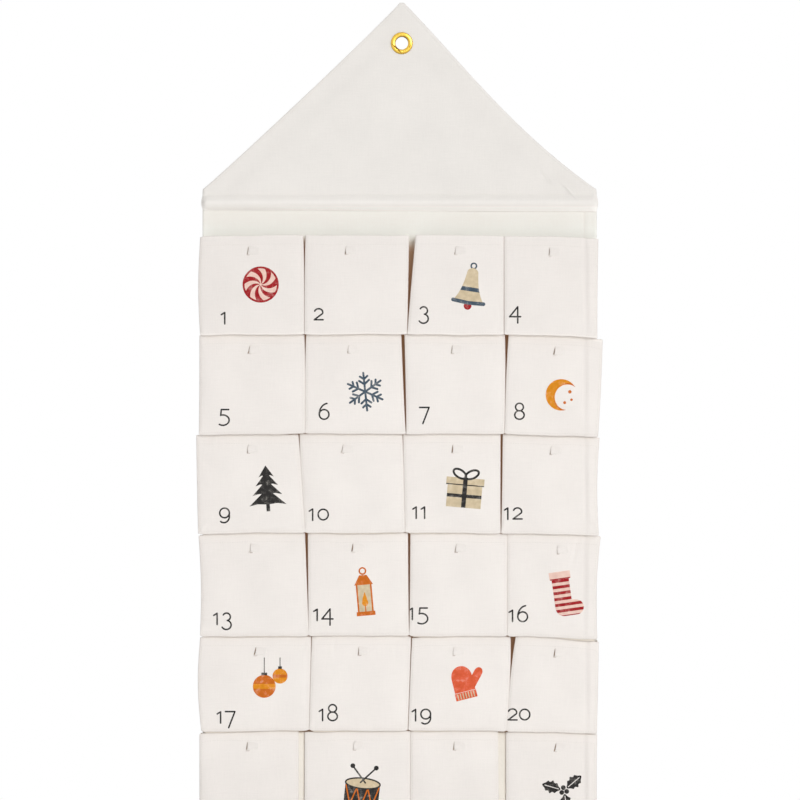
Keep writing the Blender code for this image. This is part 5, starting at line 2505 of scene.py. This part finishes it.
@dataclass
class Eyelet:
    """The brass eyelet with its rolled flange, and the washer behind the panel."""

    flange_radius: float = 14 * MM
    bore: float = 8 * MM
    crown: float = 2.4 * MM
    rim: float = 0.6 * MM
    wall: float = 0.6 * MM
    lip_width: float = 1.9 * MM
    lip_cloth: float = 0.6 * MM
    washer_width: float = 4.1 * MM
    washer_cloth: float = 0.8 * MM
    gap: float = 0.3 * MM
    facing_depth: float = 3.1 * MM
    sides: int = 144
    # Painted dark reflections in the polished ring
    streaks: tuple[Streak, ...] = (
        Streak(90, 62, 8.1 * MM, 0.0, 0.5),
        Streak(50, 26, 8.8 * MM, 0.0, 0.6, 0.9 * MM),
        Streak(226, 38, 9.2 * MM, 1.0, 1.5, 0.7 * MM),
        Streak(-19, 14, 11.4 * MM, 0.0, 0.7, 0.7 * MM),
        Streak(92, 34, 11.7 * MM, 0.0, 0.35, 0.4 * MM),
    )

    def _turned(
        self,
        name: str,
        profile: list[tuple[float, float, float]],
        material: bpy.types.Material,
        streaks: Sequence[Streak] = (),
    ) -> bpy.types.Object:
        """A ring whose closed profile is turned about the eyelet's axis.

        Args:
            name: The piece's name.
            profile: Its points as radius, depth and how tarnished they are.
            material: Its material.
            streaks: The painted dark reflections on its face.

        Returns:
            The object.
        """
        count = len(profile)
        points, tarnish = [], []
        for step in range(self.sides):
            angle = 2 * math.pi * step / self.sides
            for radius, depth, dull in profile:
                points.append((radius * math.cos(angle), -depth, radius * math.sin(angle)))
                tarnish.append(dull + sum(streak.at(math.degrees(angle), radius) for streak in streaks))
        faces = []
        for step in range(self.sides):
            here, there = step * count, (step + 1) % self.sides * count
            for k in range(count):
                after = (k + 1) % count
                faces.append((here + k, here + after, there + after, there + k))
        made = solid(name, points, faces, [material])
        paint_points(made.data, DARK_MARKS_AND_PAINTED_LIGHT, np.array(tarnish))
        made.data.set_sharp_from_angle(angle=math.radians(50))
        return made

    def build(self, finishes: Finishes) -> bpy.types.Object:
        """Builds the eyelet.

        Args:
            finishes: The calendar's materials.

        Returns:
            The object, linked to the scene.
        """
        seat = self.facing_depth + 0.05 * MM
        barrel = self.bore + self.wall
        lip = barrel + self.lip_width
        lip_top = -(self.washer_cloth + 2 * self.gap)
        crown = []
        for step in range(37):
            angle = math.pi * step / 36
            radius = mix(self.flange_radius, self.bore, (1 - math.cos(angle)) / 2)
            height = seat + mix(self.rim, self.crown, math.sin(angle) ** 0.8)
            crown.append((radius, height, 0.5 * max(0.0, abs(math.cos(angle)) - 0.8) * 5))
        profile = [(self.flange_radius - 0.3 * MM, seat - 0.15 * MM, 1.0), *crown]
        profile += [(self.bore, lip_top - 0.2 * MM, 0.9), (self.bore + 0.3 * MM, lip_top - self.lip_cloth, 0.4)]
        profile += [(lip - 0.4 * MM, lip_top - self.lip_cloth, 0.2), (lip, lip_top - self.lip_cloth / 2, 0.3)]
        profile += [(lip, lip_top, 0.5), (barrel, lip_top, 1.0), (barrel, seat, 1.0)]
        eyelet = self._turned("rolled_eyelet", profile[::-1], finishes.brass, self.streaks)
        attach(eyelet, "panel")
        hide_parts("hanging_eyelet")
        return eyelet

    def washer(self, finishes: Finishes) -> bpy.types.Object:
        """Builds the washer, slightly dished, with eased edges.

        Args:
            finishes: The calendar's materials.

        Returns:
            The object, linked to the scene.
        """
        inner = self.bore + self.wall + self.gap
        outer = inner + self.washer_width
        top = -0.02 * MM
        foot = top - self.washer_cloth - 0.1 * MM
        ease = 0.25 * MM
        profile = [
            (inner, top, 0.8),
            (inner, foot + ease, 0.6),
            (inner + ease, foot, 0.1),
            (outer - 3 * ease, foot, 0.0),
            (outer, foot + 2 * ease, 0.3),
            (outer, top, 0.9),
        ]
        washer = self._turned("pressed_washer", profile, finishes.brass)
        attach(washer, "panel")
        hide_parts("eyelet_washer")
        return washer


@dataclass
class Studio:
    """The camera at the photograph's place, soft light, a pale floor and a white surround."""

    distance: float = 12.0
    sensor: float = 36.0
    floor_z: float = -1.145
    floor_half: float = 3.2
    ambient: float = 0.50
    key: float = 0.45
    fill: float = 0.25

    def build(self) -> None:
        """Builds the studio."""
        self._camera()
        self._world()
        self._sun("key_light", self.key, Vector((0.42, -1.0, 0.20)), 30)
        self._sun("back_light", self.fill, Vector((-0.5, 1.0, 0.6)), 40)
        self._floor()

    def _camera(self) -> None:
        """A long lens straight in front, so that the view is as flat as the photograph's."""
        view = PHOTOGRAPH.width * PHOTOGRAPH.metres_per_pixel
        x, z = PHOTOGRAPH.place(PHOTOGRAPH.width / 2, PHOTOGRAPH.width / 2)
        data = bpy.data.cameras.new("camera")
        data.sensor_width = self.sensor
        data.lens = self.sensor * self.distance / view
        data.clip_end = 100
        camera = linked("camera", data)
        camera.location = (x, -self.distance, z)
        camera.rotation_euler = (math.pi / 2, 0, 0)
        bpy.context.scene.camera = camera

    def _world(self) -> None:
        """White where the camera and the metal see it, and an even soft light on everything else."""
        world = bpy.data.worlds.new("surround")
        bpy.context.scene.world = world
        world.use_nodes = True
        tree = world.node_tree
        tree.nodes.clear()
        path = tree.nodes.new("ShaderNodeLightPath")
        seen = tree.nodes.new("ShaderNodeMath")
        seen.operation = "MAXIMUM"
        tree.links.new(path.outputs["Is Camera Ray"], seen.inputs[0])
        shiny = tree.nodes.new("ShaderNodeMath")
        shiny.operation = "MAXIMUM"
        tree.links.new(path.outputs["Is Glossy Ray"], shiny.inputs[0])
        tree.links.new(path.outputs["Is Transmission Ray"], shiny.inputs[1])
        tree.links.new(shiny.outputs[0], seen.inputs[1])
        mixer = tree.nodes.new("ShaderNodeMixShader")
        tree.links.new(seen.outputs[0], mixer.inputs[0])
        for slot, strength in ((1, self.ambient), (2, 1.0)):
            glow = tree.nodes.new("ShaderNodeBackground")
            glow.inputs["Color"].default_value = (1, 1, 1, 1)
            glow.inputs["Strength"].default_value = strength
            tree.links.new(glow.outputs[0], mixer.inputs[slot])
        output = tree.nodes.new("ShaderNodeOutputWorld")
        tree.links.new(mixer.outputs[0], output.inputs["Surface"])

    def _sun(self, name: str, share: float, source: Vector, spread: float) -> None:
        """A soft distant light.

        Args:
            name: Its name.
            share: How much of a white surface that faces the front or the back it lights.
            source: Where it comes from.
            spread: How wide it looks, in degrees.
        """
        direction = source.normalized()
        data = bpy.data.lights.new(name, "SUN")
        data.energy = share * math.pi / abs(direction.y)
        data.angle = math.radians(spread)
        lamp = linked(name, data)
        lamp.rotation_mode = "QUATERNION"
        lamp.rotation_quaternion = direction.to_track_quat("Z", "Y")

    def _floor(self) -> None:
        """A pale round floor that fades into the white surround."""
        sides = 96
        ring = [2 * math.pi * step / sides for step in range(sides)]
        points = [(self.floor_half * math.cos(a), self.floor_half * math.sin(a), self.floor_z) for a in ring]
        mesh = bpy.data.meshes.new("floor")
        mesh.from_pydata(points, [], [tuple(range(sides))])
        shade = Shade("floor_paper")
        x, y, _ = shade.place()
        out = ((x * x + y * y) ** 0.5).rise(0.35 * self.floor_half, 0.95 * self.floor_half)
        speck = shade.noise(shade.vector(x, y), 40.0)
        shade.finish(Base_Color=shade.blend(speck, paint(240, 240, 240), paint(244, 244, 243)), Roughness=0.9)
        white = shade.node("ShaderNodeEmission", inputs={"Color": (1.0, 1.0, 1.0), "Strength": 1.0})
        shown = Signal(shade, shade.shader.outputs[0])
        mixed = shade.node("ShaderNodeMixShader", inputs={0: out, 1: shown, 2: white})
        shade.feed(shade.output.inputs["Surface"], mixed)
        mesh.materials.append(shade.material)
        linked("floor", mesh)


def main() -> None:
    """Dresses the calendar and lights it."""
    logging.basicConfig(level=logging.INFO, format="%(name)s: %(message)s")
    bpy.context.scene.view_settings.view_transform = "Standard"
    finishes = Finishes()
    Studio().build()
    panel_part, gable_part, metal = BackPanel(), GableFacing(), Eyelet()
    panel = panel_part.build(finishes)
    gable = gable_part.build(finishes)
    seams = panel_part.stitches(finishes)
    edging = gable_part.stitches(finishes)
    metal.build(finishes)
    metal.washer(finishes)
    log.info("panel, gable, eyelet and washer")
    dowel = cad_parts["hanging_dowel"]
    dowel.data.materials.clear()
    dowel.data.materials.append(finishes.wood)
    for row in range(ROWS):
        for column in range(COLUMNS):
            Pocket(row, column).build(finishes)
    flat = (HOUSE.width, HOUSE.height)
    whole = HOUSE.gable_area + HOUSE.width * (HOUSE.height - HOUSE.gable_height)
    sleeve = HOUSE.sleeve_below_corner + HOUSE.sleeve_height
    flat = (HOUSE.width, HOUSE.gable_height + sleeve)


if __name__ == "__main__":
    main()
